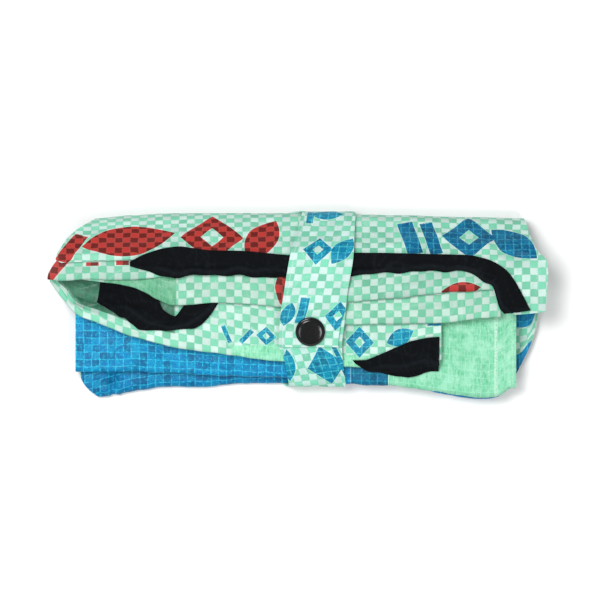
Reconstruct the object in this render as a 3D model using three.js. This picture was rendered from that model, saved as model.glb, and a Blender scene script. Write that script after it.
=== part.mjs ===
// A shopping bag sewn from woven rice sack cloth, folded up, rolled and shut with its snap strap.
// It lies on a flat surface. Millimetres: +X to the right, +Y away from the viewer, +Z up, and
// the origin is at the middle of the underside.

import * as THREE from "three";

// Driving dimensions
const CLOTH = 1.2; // sack cloth with the air it holds, one layer
const TAPE = 1.4; // black handle tape
const GAP = 0.4; // between pieces that touch on the real bag
const PILE = 39; // height of the pile of layers, under the strap
const RIDGE_Y = 34; // where the top turns down into the far slope
const STATIONS = 28; // cross-sections along the bag
const STRAP_GAP = 0.6; // between the strap and what it holds
const STRAP_LIFT = CLOTH + STRAP_GAP + 0.2; // the underside rises this much over the strap
const STRAP_X = 9; // middle of the strap under the bag
const STRAP_HALF = 21; // half of its width there
const SNAP_RADIUS = 10.4;
const SNAP_HEIGHT = 4.6;
const SNAP_AT = { x: 8.5, y: -19.3 };

// One row for each cross-section: where the far side and the edge or fold of each layer lie.
const SECTIONS = [
  { x: -174, far: 56.0, a: 28.0, b: 17.0, c: 19.5, d: 17.5, e: -46.2, f: -64.0 },
  { x: -165, far: 57.5, a: 28.3, b: 16.3, c: 18.9, d: 5.2, e: -46.2, f: -64.2 },
  { x: -154, far: 58.6, a: 28.7, b: 16.8, c: 17.5, d: -7.4, e: -47.6, f: -64.6 },
  { x: -139, far: 59.6, a: 30.1, b: 17.1, c: 15.4, d: -13.5, e: -47.6, f: -65.0 },
  { x: -118, far: 61.3, a: 32.0, b: 17.1, c: 11.8, d: -21.7, e: -47.0, f: -61.3 },
  { x: -106, far: 62.1, a: 30.2, b: 17.8, c: 7.6, d: -25.0, e: -47.6, f: -59.8 },
  { x: -97, far: 62.7, a: 28.7, b: 18.6, c: 2.8, d: -27.5, e: -48.3, f: -58.7 },
  { x: -87, far: 62.8, a: 28.5, b: 19.6, c: -1.0, d: -29.6, e: -48.7, f: -58.4 },
  { x: -55, far: 63.0, a: 28.0, b: 22.6, c: 0.4, d: -34.7, e: -50.0, f: -57.4 },
  { x: -11, far: 63.0, a: 27.3, b: 22.0, c: -2.1, d: -40.2, e: -51.8, f: -55.2 },
  { x: 33, far: 62.3, a: 28.0, b: 1.4, c: -14.7, d: -44.1, e: -56.7, f: -54.8 },
  { x: 64, far: 61.6, a: 28.0, b: 3.9, c: -14.0, d: -44.8, e: -57.1, f: -55.6 },
  { x: 99, far: 60.6, a: 27.3, b: 7.7, c: -13.3, d: -39.9, e: -62.0, f: -63.0 },
  { x: 120, far: 60.2, a: 25.9, b: 9.1, c: -11.2, d: -38.0, e: -64.4, f: -65.5 },
  { x: 132, far: 60.0, a: 18.9, b: 9.8, c: -9.8, d: -38.0, e: -65.1, f: -66.2 },
  { x: 141, far: 59.8, a: -3.5, b: 9.8, c: -9.1, d: -38.0, e: -63.8, f: -64.4 },
  { x: 150, far: 59.4, a: -7.7, b: 9.8, c: -9.1, d: -38.0, e: -58.8, f: -57.0 },
  { x: 175, far: 58.4, a: -5.6, b: 9.8, c: -9.1, d: -38.0, e: -58.8, f: -55.0 },
];

// One row for each layer of cloth, from the underside up: its share of the pile's height at the
// left end, where the bag's mouth gapes, and at the right end.
const LAYERS = {
  fTop: { left: 0.2, right: 0.18 },
  eBottom: { left: 0.3, right: 0.33 },
  eTop: { left: 0.44, right: 0.53 },
  dBottom: { left: 0.67, right: 0.62 },
  dTop: { left: 0.73, right: 0.69 },
  cBottom: { left: 0.83, right: 0.77 },
  cTop: { left: 0.875, right: 0.83 },
  bBottom: { left: 0.91, right: 0.89 },
  bTop: { left: 0.96, right: 0.95 },
  a: { left: 1.03, right: 1.02 },
};

// The inner face of the mouth sinks into a trough at the left, behind its lip. Its middle
// follows the lip.
const TROUGH = { share: 0.22, x: -140, reach: 62, y: 6.3, slant: -0.14, halfWidth: 13.5 };

// Where each layer stops at its left and right, by how far back on the bag it is.
const ENDS = {
  a: [
    { y: -8, left: -160, right: 171.9 },
    { y: 17, left: -160, right: 173.6 },
    { y: 26, left: -161, right: 174.2 },
    { y: 31, left: -169, right: 172.5 },
    { y: 37, left: -166, right: 166.1 },
    { y: 48, left: -159, right: 162.0 },
    { y: 59, left: -143, right: 158.5 },
    { y: 63, left: -137, right: 156.0 },
  ],
  under: [
    { y: -66, left: -138, right: 143 },
    { y: -60, left: -146, right: 148 },
    { y: -52, left: -150, right: 150 },
    { y: -38, left: -151, right: 157 },
    { y: -28, left: -151, right: 163 },
    { y: 0, left: -151, right: 166 },
    { y: 63, left: -138, right: 156 },
  ],
  b: [
    { y: 20, left: -174.4, right: 136 },
    { y: 29, left: -169, right: 136 },
    { y: 37, left: -161, right: 136 },
  ],
  c: [
    { y: 22, left: -165.5, right: 141 },
    { y: 41, left: -158, right: 141 },
  ],
  d: [
    { y: 10, left: -170.5, right: 100 },
    { y: 20, left: -173.6, right: 100 },
    { y: 29, left: -168.5, right: 100 },
    { y: 46, left: -155, right: 100 },
  ],
  e: [
    { y: 20, left: -156, right: 152.6 },
    { y: 48, left: -150, right: 152.6 },
  ],
  f: [
    { y: -66, left: -139, right: 142 },
    { y: -60, left: -147.8, right: 148 },
    { y: -54, left: -151.3, right: 151 },
    { y: -38, left: -153, right: 159.5 },
    { y: -28, left: -153, right: 165.2 },
    { y: -18, left: -153, right: 167.2 },
    { y: 0, left: -152, right: 168.6 },
    { y: 50, left: -148, right: 160 },
  ],
};

// How far back each hidden fold or end lies.
const BACK = { f: 50, e: 48, d: 46, c: 41, b: 37, bEnd: 32 };

function smoothstep(from, to, value) {
  const share = Math.min(1, Math.max(0, (value - from) / (to - from)));
  return share * share * (3 - 2 * share);
}

// A smooth curve through one column of a table, with no overshoot between its rows.
function along(rows, by, column, at) {
  if (rows.length === 1 || at <= rows[0][by]) return rows[0][column];
  const last = rows.length - 1;
  if (at >= rows[last][by]) return rows[last][column];
  const slope = (i) => (rows[i + 1][column] - rows[i][column]) / (rows[i + 1][by] - rows[i][by]);
  const tangent = (i) => {
    if (i === 0) return slope(0);
    if (i === last) return slope(last - 1);
    const [before, after] = [slope(i - 1), slope(i)];
    return before * after <= 0 ? 0 : (2 * before * after) / (before + after);
  };
  const i = rows.findIndex((row) => row[by] > at) - 1;
  const width = rows[i + 1][by] - rows[i][by];
  const s = (at - rows[i][by]) / width;
  const [m0, m1] = [tangent(i) * width, tangent(i + 1) * width];
  const [p0, p1] = [rows[i][column], rows[i + 1][column]];
  return (
    p0 * (1 + 2 * s) * (1 - s) ** 2 + m0 * s * (1 - s) ** 2 + p1 * s * s * (3 - 2 * s) + m1 * s * s * (s - 1)
  );
}

const edge = (column, x) => along(SECTIONS, "x", column, x);

// How far down the far slope a place is: 0 on the level top, 1 at the far side, with a soft bend.
const SOFT_BEND = 0.24;
function downSlope(x, y) {
  const share = (y - RIDGE_Y) / (edge("far", x) - RIDGE_Y);
  if (share < -SOFT_BEND) return 0;
  return share < SOFT_BEND ? (share + SOFT_BEND) ** 2 / (4 * SOFT_BEND) : share;
}

// Height of the top of the pile: level, then down the far slope.
const pileHeight = (x, y) => PILE * (1 - 0.62 * downSlope(x, y));

// Middle of a layer's cloth above the floor.
function layerHeight(layer, x, y) {
  const { left, right } = LAYERS[layer];
  let share = left + (right - left) * smoothstep(-60, 60, x);
  if (layer === "dTop" || layer === "dBottom") {
    const inTrough = 1 - smoothstep(0, TROUGH.reach, Math.abs(x - TROUGH.x));
    const middle = TROUGH.y + TROUGH.slant * (x - TROUGH.x);
    const across = Math.max(0, 1 - ((y - middle) / TROUGH.halfWidth) ** 2);
    share -= TROUGH.share * inTrough * across ** 1.3;
  }
  return share * pileHeight(x, y);
}

// The underside is flat on the floor, and rises a little over the strap.
function undersideHeight(x) {
  const overStrap = 1 - smoothstep(STRAP_HALF + 2, STRAP_HALF + 14, Math.abs(x - STRAP_X));
  return CLOTH / 2 + STRAP_LIFT * overStrap;
}

// A run of cloth between two places, as points that each give (y, z) for an x.
function run(layer, ends, fromY, toY, count) {
  return Array.from({ length: count }, (_, i) => ({
    ends,
    at: (x) => {
      const share = count === 1 ? 0 : i / (count - 1);
      const y = fromY(x) + (toY(x) - fromY(x)) * share;
      return [y, layerHeight(layer, x, y)];
    },
  }));
}

// A fold: half an ellipse from one layer's end to the other's. side is 1 for a far fold, -1 for a near one.
function fold(lower, upper, ends, edgeY, side, flat, count, goesUp = true) {
  return Array.from({ length: count }, (_, i) => ({
    ends,
    at: (x) => {
      const tip = edgeY(x);
      const [low, high] = [layerHeight(lower, x, tip), layerHeight(upper, x, tip)];
      const reach = ((high - low) / 2) * flat;
      const turn = (Math.PI * (i + 1)) / (count + 1);
      const z = (low + high) / 2 - ((high - low) / 2) * Math.cos(turn) * (goesUp ? 1 : -1);
      return [tip - side * reach * (1 - Math.sin(turn)), z];
    },
  }));
}

const nearOf = (column, inset = 0) => (x) => edge(column, x) + inset;
const backAt = (y) => () => y;

// How far a fold's straight cloth stops short of its tip.
const FOLD_INSET = { b: 1.2, c: 1.2, d: 1.6, e: 2.6, f: 4.5 };

// The outer panel: from its hem on top, over the far side, under the bag and round the near fold.
function backPanelPath() {
  const top = run("a", "a", nearOf("a"), backAt(RIDGE_Y - 4), 5);
  const slopeAt = (x, share) => RIDGE_Y + (edge("far", x) - RIDGE_Y) * share;
  const slope = [0.02, 0.2, 0.45, 0.72].map((back) => ({
    ends: "a",
    at: (x) => [slopeAt(x, back), layerHeight("a", x, slopeAt(x, back))],
  }));
  const turn = [
    { back: 0.9, share: 0.46 },
    { back: 0.98, share: 0.33 },
    { back: 1.0, share: 0.21 },
    { back: 0.94, share: 0.1 },
  ].map(({ back, share }) => ({ ends: "a", at: (x) => [slopeAt(x, back), PILE * share] }));
  const floorPoint = (from) => ({ ends: "under", at: (x) => [from(x), undersideHeight(x)] });
  const floor = [0.76, 0.36].map((back) => floorPoint((x) => slopeAt(x, back)));
  floor.push(floorPoint(backAt(10)), floorPoint(backAt(-18)), floorPoint(nearOf("f", 9)));
  const nearFold = [0.06, 0.25, 0.5, 0.75, 0.94].map((share) => ({
    ends: "f",
    at: (x) => {
      const tip = edge("f", x);
      const [low, high] = [undersideHeight(x), layerHeight("fTop", x, tip)];
      const sweep = Math.sin(Math.PI * (0.06 + 0.88 * share));
      return [tip + FOLD_INSET.f * (1 - sweep), low + (high - low) * share];
    },
  }));
  const inner = run("fTop", "f", nearOf("f", FOLD_INSET.f + 3), backAt(BACK.f), 4);
  return [...top, ...slope, ...turn, ...floor, ...nearFold, ...inner];
}

// The base panel: one flat fold between the outer and the front panel.
function basePanelPath() {
  return [
    ...run("eBottom", "e", backAt(BACK.e), nearOf("e", 6), 4),
    ...fold("eBottom", "eTop", "e", nearOf("e"), -1, 0.75, 5),
    ...run("eTop", "e", nearOf("e", 6), backAt(BACK.e), 6),
  ];
}

// The front panel: three folds laid back and forth, the lowest with the lip of the bag's mouth.
function frontPanelPath() {
  return [
    ...run("dBottom", "d", backAt(BACK.d), nearOf("d", FOLD_INSET.d + 1), 6),
    ...fold("dBottom", "dTop", "d", nearOf("d"), -1, 1, 3),
    ...run("dTop", "d", nearOf("d", FOLD_INSET.d + 1), backAt(24), 9),
    ...run("dTop", "d", backAt(30), backAt(BACK.d), 3),
    ...fold("dTop", "cBottom", "c", backAt(BACK.d + 1.5), 1, 1, 2),
    ...run("cBottom", "c", backAt(BACK.c), nearOf("c", FOLD_INSET.c), 3),
    ...fold("cBottom", "cTop", "c", nearOf("c"), -1, 1, 3),
    ...run("cTop", "c", nearOf("c", FOLD_INSET.c), backAt(BACK.c - 2), 4),
    ...fold("cTop", "bBottom", "b", backAt(BACK.c), 1, 1, 2),
    ...run("bBottom", "b", backAt(BACK.b), nearOf("b", FOLD_INSET.b), 3),
    ...fold("bBottom", "bTop", "b", nearOf("b"), -1, 1, 3),
    ...run("bTop", "b", nearOf("b", FOLD_INSET.b), backAt(BACK.bEnd), 3),
  ];
}

// Sets a path's points at every station. A layer's end depends on y, and y on x, so it is
// settled in a few rounds.
function panelGrid(path) {
  return path.map(({ ends, at }) =>
    Array.from({ length: STATIONS }, (_, i) => {
      const even = i / (STATIONS - 1);
      const share = even - 0.085 * Math.sin(2 * Math.PI * even);
      let x = 0;
      for (let round = 0; round < 6; round += 1) {
        const [y] = at(x);
        const left = along(ENDS[ends], "y", "left", y);
        const right = along(ENDS[ends], "y", "right", y);
        x = left + (right - left) * share;
      }
      return new THREE.Vector3(x, ...at(x));
    }),
  );
}

// A closed sheet of the given thickness about a grid of points.
function sheet(grid, thickness) {
  const [rows, columns] = [grid.length, grid[0].length];
  const step = (i, j) => grid[Math.min(rows - 1, Math.max(0, i))][Math.min(columns - 1, Math.max(0, j))];
  const normals = grid.map((row, i) =>
    row.map((_, j) => {
      const down = step(i + 1, j).clone().sub(step(i - 1, j)).normalize();
      const across = step(i, j + 1).clone().sub(step(i, j - 1)).normalize();
      return down.cross(across).normalize();
    }),
  );
  const positions = [];
  for (const side of [1, -1]) {
    grid.forEach((row, i) =>
      row.forEach((point, j) => {
        positions.push(...point.clone().addScaledVector(normals[i][j], (side * thickness) / 2).toArray());
      }),
    );
  }
  const index = (side, i, j) => side * rows * columns + i * columns + j;
  const faces = [];
  const quad = (a, b, c, d) => faces.push(a, b, c, a, c, d);
  for (let i = 0; i < rows - 1; i += 1) {
    for (let j = 0; j < columns - 1; j += 1) {
      quad(index(0, i, j), index(0, i + 1, j), index(0, i + 1, j + 1), index(0, i, j + 1));
      quad(index(1, i, j), index(1, i, j + 1), index(1, i + 1, j + 1), index(1, i + 1, j));
    }
  }
  for (let i = 0; i < rows - 1; i += 1) {
    quad(index(0, i, 0), index(1, i, 0), index(1, i + 1, 0), index(0, i + 1, 0));
    const j = columns - 1;
    quad(index(0, i, j), index(0, i + 1, j), index(1, i + 1, j), index(1, i, j));
  }
  for (let j = 0; j < columns - 1; j += 1) {
    quad(index(0, 0, j), index(0, 0, j + 1), index(1, 0, j + 1), index(1, 0, j));
    const i = rows - 1;
    quad(index(0, i, j), index(1, i, j), index(1, i, j + 1), index(0, i, j + 1));
  }
  const geometry = new THREE.BufferGeometry();
  geometry.setAttribute("position", new THREE.Float32BufferAttribute(positions, 3));
  geometry.setIndex(faces);
  geometry.computeVertexNormals();
  return geometry;
}

// The heights of a grid's surface over one place.
function heightsAt(grid, x, y) {
  const heights = [];
  const inside = (a, b, c) => {
    const area = (b.x - a.x) * (c.y - a.y) - (c.x - a.x) * (b.y - a.y);
    if (Math.abs(area) < 1e-9) return;
    const v = ((x - a.x) * (c.y - a.y) - (c.x - a.x) * (y - a.y)) / area;
    const w = ((b.x - a.x) * (y - a.y) - (x - a.x) * (b.y - a.y)) / area;
    if (v >= 0 && w >= 0 && v + w <= 1) heights.push(a.z + v * (b.z - a.z) + w * (c.z - a.z));
  };
  for (let i = 0; i < grid.length - 1; i += 1) {
    for (let j = 0; j < grid[i].length - 1; j += 1) {
      const [a, b, c, d] = [grid[i][j], grid[i + 1][j], grid[i + 1][j + 1], grid[i][j + 1]];
      inside(a, b, c);
      inside(a, c, d);
    }
  }
  return heights;
}

// The height that clears the cloth close around a place, of all that lies under a ceiling.
function clearOfCloth(grids, x, y, reach, ceiling) {
  let height = 0;
  for (const across of [-1, -0.5, 0, 0.5, 1]) {
    for (const back of [-1, -0.75, -0.5, -0.25, 0, 0.25, 0.5, 0.75, 1]) {
      const [px, py] = [x + reach * across, y + reach * back];
      const found = grids.flatMap((grid) => heightsAt(grid, px, py)).filter((z) => z < ceiling(px, py));
      height = Math.max(height, ...found);
    }
  }
  return height + CLOTH / 2;
}

// A tape that lies on the cloth. Each row gives its two edges; it is draped from those.
function tapeGrid(rows, grids, { steps, across, reach, ceiling = () => 1000 }) {
  const curve = (x, y) =>
    new THREE.CatmullRomCurve3(rows.map((row) => new THREE.Vector3(row[x], row[y], 0)), false, "centripetal");
  const [far, near] = [curve("farX", "farY"), curve("nearX", "nearY")];
  return Array.from({ length: steps }, (_, i) => {
    const [a, b] = [far.getPoint(i / (steps - 1)), near.getPoint(i / (steps - 1))];
    return Array.from({ length: across }, (__, j) => {
      const point = a.clone().lerp(b, j / (across - 1));
      point.z = clearOfCloth(grids, point.x, point.y, reach, ceiling) + GAP + TAPE / 2;
      return point;
    });
  });
}

const HANDLE_TOP_ROWS = [
  { farX: -117, farY: 29.0, nearX: -117, nearY: 26.0 },
  { farX: -108, farY: 34.0, nearX: -107, nearY: 23.0 },
  { farX: -96, farY: 38.0, nearX: -95, nearY: 18.8 },
  { farX: -83, farY: 40.0, nearX: -84, nearY: 18.0 },
  { farX: -62, farY: 37.0, nearX: -62, nearY: 20.3 },
  { farX: -36, farY: 36.6, nearX: -36, nearY: 19.0 },
  { farX: -6, farY: 33.5, nearX: -8, nearY: 18.0 },
  { farX: 38, farY: 35.4, nearX: 37, nearY: 19.6 },
  { farX: 66, farY: 35.1, nearX: 66, nearY: 21.5 },
  { farX: 100, farY: 34.2, nearX: 99, nearY: 22.6 },
  { farX: 120, farY: 33.8, nearX: 117, nearY: 22.6 },
  { farX: 133, farY: 30.6, nearX: 126, nearY: 18.0 },
  { farX: 141, farY: 26.4, nearX: 132, nearY: 14.0 },
  { farX: 147, farY: 21.2, nearX: 136, nearY: 11.0 },
  { farX: 152, farY: 13.6, nearX: 137.6, nearY: 4.6 },
  { farX: 157, farY: 4.2, nearX: 139.6, nearY: -2.0 },
  { farX: 161.6, farY: -4.8, nearX: 143.2, nearY: -8.0 },
];

const HANDLE_LEFT_ROWS = [
  { farX: -137.3, farY: 19.0, nearX: -140.5, nearY: 1.0 },
  { farX: -126.8, farY: 17.0, nearX: -129.4, nearY: -5.6 },
  { farX: -111.0, farY: 13.0, nearX: -121.6, nearY: -10.6 },
  { farX: -99.0, farY: 6.6, nearX: -116.6, nearY: -13.6 },
  { farX: -94.6, farY: -4.0, nearX: -111.6, nearY: -17.8 },
  { farX: -89.6, farY: -7.6, nearX: -100.6, nearY: -18.8 },
  { farX: -85.6, farY: -9.2, nearX: -92.6, nearY: -20.0 },
  { farX: -84.0, farY: -7.4, nearX: -80.6, nearY: -18.6 },
  { farX: -81.0, farY: -3.0, nearX: -72.4, nearY: -17.6 },
  { farX: -77.8, farY: 0.4, nearX: -66.4, nearY: -13.6 },
  { farX: -75.0, farY: 2.4, nearX: -60.6, nearY: -7.4 },
  { farX: -72.0, farY: 4.0, nearX: -54.6, nearY: 2.6 },
];

const HANDLE_RIGHT_ROWS = [
  { farX: 38, farY: -39.6, nearX: 40, nearY: -42.0 },
  { farX: 48, farY: -39.4, nearX: 46, nearY: -46.0 },
  { farX: 63, farY: -33.0, nearX: 60, nearY: -49.4 },
  { farX: 78, farY: -26.4, nearX: 76, nearY: -51.6 },
  { farX: 90, farY: -23.8, nearX: 89, nearY: -49.0 },
  { farX: 98.6, farY: -23.2, nearX: 98.2, nearY: -47.4 },
];

// The convex outline that a taut strap takes round everything it holds.
function outlineAround(grids, fromX, toX, margin) {
  const points = [];
  for (const { grid, thickness } of grids) {
    for (const row of grid) {
      for (const p of row) {
        const beside = p.z < 3 ? 10 : 0;
        if (p.x < fromX + beside || p.x > toX - beside) continue;
        for (let turn = 0; turn < 8; turn += 1) {
          const angle = (turn * Math.PI) / 4;
          const radius = thickness / 2 + margin;
          points.push([p.y + radius * Math.cos(angle), p.z + radius * Math.sin(angle)]);
        }
      }
    }
  }
  points.sort((p, q) => p[0] - q[0] || p[1] - q[1]);
  const cross = (o, p, q) => (p[0] - o[0]) * (q[1] - o[1]) - (p[1] - o[1]) * (q[0] - o[0]);
  const half = (list) => {
    const chain = [];
    for (const p of list) {
      while (chain.length > 1 && cross(chain[chain.length - 2], chain[chain.length - 1], p) <= 0) chain.pop();
      chain.push(p);
    }
    chain.pop();
    return chain;
  };
  const hull = [...half(points), ...half([...points].reverse())];
  return hull.map(([y, z]) => new THREE.Vector2(y, z));
}

// Where the strap's two edges lie, by how far back on the bag it is.
const STRAP_EDGES = [
  { y: -62, left: -5.5, right: 34.0 },
  { y: -50, left: -7.5, right: 32.5 },
  { y: -36, left: -10.5, right: 30.8 },
  { y: -29, left: -13.5, right: 30.6 },
  { y: -12, left: -12.6, right: 32.4 },
  { y: 8, left: -9.8, right: 34.4 },
  { y: 33, left: -5.5, right: 38.4 },
  { y: 50, left: -0.5, right: 39.4 },
  { y: 66, left: 3.5, right: 40.6 },
];
const STRAP_START_Y = -4; // inner end, under the outer layer
const STRAP_END_Y = -30; // free end
const STRAP_STEPS = 100;
const STRAP_ACROSS = 4;

// The strap winds once round the bag from its inner end, and its free end overlaps that.
function strapGrid(outline) {
  const closed = [...outline, outline[0]];
  const lengths = [0];
  for (let i = 1; i < closed.length; i += 1) lengths.push(lengths[i - 1] + closed[i].distanceTo(closed[i - 1]));
  const lap = lengths[lengths.length - 1];
  const pointAt = (distance) => {
    const d = ((distance % lap) + lap) % lap;
    const i = Math.max(1, lengths.findIndex((length) => length >= d));
    return closed[i - 1].clone().lerp(closed[i], (d - lengths[i - 1]) / (lengths[i] - lengths[i - 1]));
  };
  const samples = Array.from({ length: 1200 }, (_, i) => (i * lap) / 1200);
  const onTop = samples.filter((d) => pointAt(d).y > PILE * 0.7);
  const topPlace = (y) =>
    onTop.reduce((best, d) => (Math.abs(pointAt(d).x - y) < Math.abs(pointAt(best).x - y) ? d : best));
  const start = topPlace(STRAP_START_Y);
  const total = lap + topPlace(STRAP_END_Y) - start;
  return Array.from({ length: STRAP_STEPS }, (_, i) => {
    const travelled = (total * i) / (STRAP_STEPS - 1);
    const [p, before, after] = [0, -1.5, 1.5].map((off) => pointAt(start + travelled + off));
    const out = new THREE.Vector2(after.y - before.y, before.x - after.x).normalize();
    const lift = (CLOTH + GAP) * smoothstep(lap - 16, lap - 4, travelled);
    const place = p.clone().addScaledVector(out, lift);
    const left = along(STRAP_EDGES, "y", "left", place.x);
    const right = along(STRAP_EDGES, "y", "right", place.x);
    const below = 1 - smoothstep(1, 12, p.y);
    return Array.from({ length: STRAP_ACROSS }, (__, j) => {
      const share = j / (STRAP_ACROSS - 1);
      const above = left + (right - left) * share;
      const beneath = STRAP_X + STRAP_HALF * (2 * share - 1);
      return new THREE.Vector3(above + (beneath - above) * below, place.x, place.y);
    });
  });
}

// The snap's domed cap, turned about its own axis.
function snapCap() {
  const r = SNAP_RADIUS;
  const h = SNAP_HEIGHT;
  const profile = [
    [0, 0],
    [r - 1.2, 0],
    [r - 0.3, 0.25],
    [r, 0.9],
    [r - 0.25, 1.6],
    [r * 0.9, h * 0.56],
    [r * 0.7, h * 0.8],
    [r * 0.45, h * 0.94],
    [r * 0.2, h * 0.99],
    [0, h],
  ];
  const geometry = new THREE.LatheGeometry(profile.map(([x, y]) => new THREE.Vector2(x, y)), 32);
  geometry.rotateX(Math.PI / 2);
  return geometry;
}

const COLOURS = {
  sackCheck: { color: 0xa9e6c3, roughness: 0.55, metalness: 0 },
  sackBlue: { color: 0x1b7fc4, roughness: 0.55, metalness: 0 },
  handleBlack: { color: 0x14161b, roughness: 0.9, metalness: 0 },
  snapBlack: { color: 0x0b0b0d, roughness: 0.2, metalness: 0 },
};

function piece(name, geometry, finish) {
  const mesh = new THREE.Mesh(geometry, new THREE.MeshStandardMaterial(COLOURS[finish]));
  mesh.name = name;
  return mesh;
}

const backPanel = panelGrid(backPanelPath());
const basePanel = panelGrid(basePanelPath());
const frontPanel = panelGrid(frontPanelPath());
const panels = [backPanel, basePanel, frontPanel];
const underC = (x, y) => layerHeight("cBottom", x, y) - 0.5;
const topHandle = tapeGrid(HANDLE_TOP_ROWS, panels, { steps: 38, across: 7, reach: 4.2 });
const leftHandle = tapeGrid(HANDLE_LEFT_ROWS, panels, { steps: 24, across: 6, reach: 3, ceiling: underC });
const rightHandle = tapeGrid(HANDLE_RIGHT_ROWS, panels, { steps: 16, across: 7, reach: 3.6, ceiling: underC });

const held = [
  { grid: backPanel, thickness: CLOTH },
  { grid: basePanel, thickness: CLOTH },
  { grid: frontPanel, thickness: CLOTH },
  { grid: topHandle, thickness: TAPE },
];
const strap = strapGrid(outlineAround(held, -22, 46, STRAP_GAP + CLOTH / 2));

// The cap sits square on the strap's outer layer, near its free end.
function placeSnap(mesh) {
  const outer = strap.slice(-12);
  const next = Math.max(1, outer.findIndex((row) => row[0].y < SNAP_AT.y));
  const [here, there] = [outer[next - 1][0], outer[next][0]];
  const tilt = Math.atan2(here.z - there.z, here.y - there.y);
  const z = here.z + (SNAP_AT.y - here.y) * Math.tan(tilt);
  const stand = CLOTH / 2 + GAP;
  mesh.rotation.set(tilt, 0, 0);
  mesh.position.set(SNAP_AT.x, SNAP_AT.y - Math.sin(tilt) * stand, z + Math.cos(tilt) * stand);
  return mesh;
}

const bag = new THREE.Group();
bag.name = "folded_sack_bag";
bag.add(
  piece("back_panel", sheet(backPanel, CLOTH), "sackCheck"),
  piece("base_panel", sheet(basePanel, CLOTH), "sackBlue"),
  piece("front_panel", sheet(frontPanel, CLOTH), "sackCheck"),
  piece("handle_top", sheet(topHandle, TAPE), "handleBlack"),
  piece("handle_mouth_left", sheet(leftHandle, TAPE), "handleBlack"),
  piece("handle_mouth_right", sheet(rightHandle, TAPE), "handleBlack"),
  piece("closure_strap", sheet(strap, CLOTH), "sackCheck"),
  placeSnap(piece("snap_cap", snapCap(), "snapBlack")),
);

// The origin goes to the middle of the underside.
const box = new THREE.Box3().setFromObject(bag, true);
const middle = box.getCenter(new THREE.Vector3());
bag.children.forEach((child) => child.position.sub(new THREE.Vector3(middle.x, middle.y, box.min.z)));

export default bag;
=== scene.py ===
"""A folded shopping bag of woven sack cloth, dressed over its solid model."""

import math

import bpy
import numpy as np
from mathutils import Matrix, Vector
from mathutils.bvhtree import BVHTree


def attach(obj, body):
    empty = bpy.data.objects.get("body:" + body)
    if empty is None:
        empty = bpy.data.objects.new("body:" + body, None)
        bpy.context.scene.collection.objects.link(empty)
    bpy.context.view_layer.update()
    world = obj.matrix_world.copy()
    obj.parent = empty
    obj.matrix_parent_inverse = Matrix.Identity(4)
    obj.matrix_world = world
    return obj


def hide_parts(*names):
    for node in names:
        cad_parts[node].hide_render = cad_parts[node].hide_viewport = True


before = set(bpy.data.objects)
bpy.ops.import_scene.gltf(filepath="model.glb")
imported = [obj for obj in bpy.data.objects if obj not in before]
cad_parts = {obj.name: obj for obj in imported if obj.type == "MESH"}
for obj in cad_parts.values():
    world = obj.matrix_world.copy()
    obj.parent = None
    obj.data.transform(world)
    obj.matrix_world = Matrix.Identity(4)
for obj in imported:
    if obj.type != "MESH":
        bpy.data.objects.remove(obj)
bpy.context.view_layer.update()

bl_info = {
    "name": "Folded Sack Bag",
    "version": (1, 0, 0),
    "blender": (4, 5, 0),
    "location": "View3D > Sidebar > Sack Bag",
    "description": "Makes a folded bag of woven sack cloth with its strap, handles and snap",
    "category": "Object",
}

MM = 0.001
BODY = "root"

# The bag's sizes, in millimetres, in the plane of the surface it lies on.
TO_MM = 1000  # from the settings' metres
SHIFT = np.array([0.2568, 0.7858, 0.0])  # from the sizes' origin to the middle of the underside
VIEW_PIXELS = 600  # across the square view
PIXEL_MM = 0.7  # a pixel of the view, on the surface
VIEW_MIDDLE = (298.1, 303.5)  # the sizes' origin, in pixels of the view
CLOTH = 1.2  # a layer's thickness in the solid model
PILE = 39.0  # height of the pile's top
RIDGE_Y = 34.0  # where the top bends down to the far slope
FAR_DROP = 0.62  # how much of its height the top loses on the far slope
SOFT_BEND = 0.24  # half of the bend at the ridge, as a share of the slope
STRAP_GAP = 0.6
STRAP_LIFT = CLOTH + STRAP_GAP + 0.2  # how far the underside rises over the strap
STRAP_X = 9.0  # the strap's middle and half width, under the bag
STRAP_HALF = 21.0
FLOOR_GAP = 0.12  # what the lowest cloth keeps from the surface
END_CROWDING = 0.085  # how much closer the stations of a sheet stand at its two ends
SETTLE_ROUNDS = 6
# Places down the far slope, as shares of it, and then where the cloth turns under at the back: how
# far back, as a share of the slope, and how high, as a share of the pile.
SLOPE_PLACES = (0.02, 0.2, 0.45, 0.72)
FAR_TURN = ((0.9, 0.46), (0.98, 0.33), (1.0, 0.21), (0.94, 0.1))
NEAR_FOLD = (0.06, 0.25, 0.5, 0.75, 0.94)  # places up the near fold, as shares of its height

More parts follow.
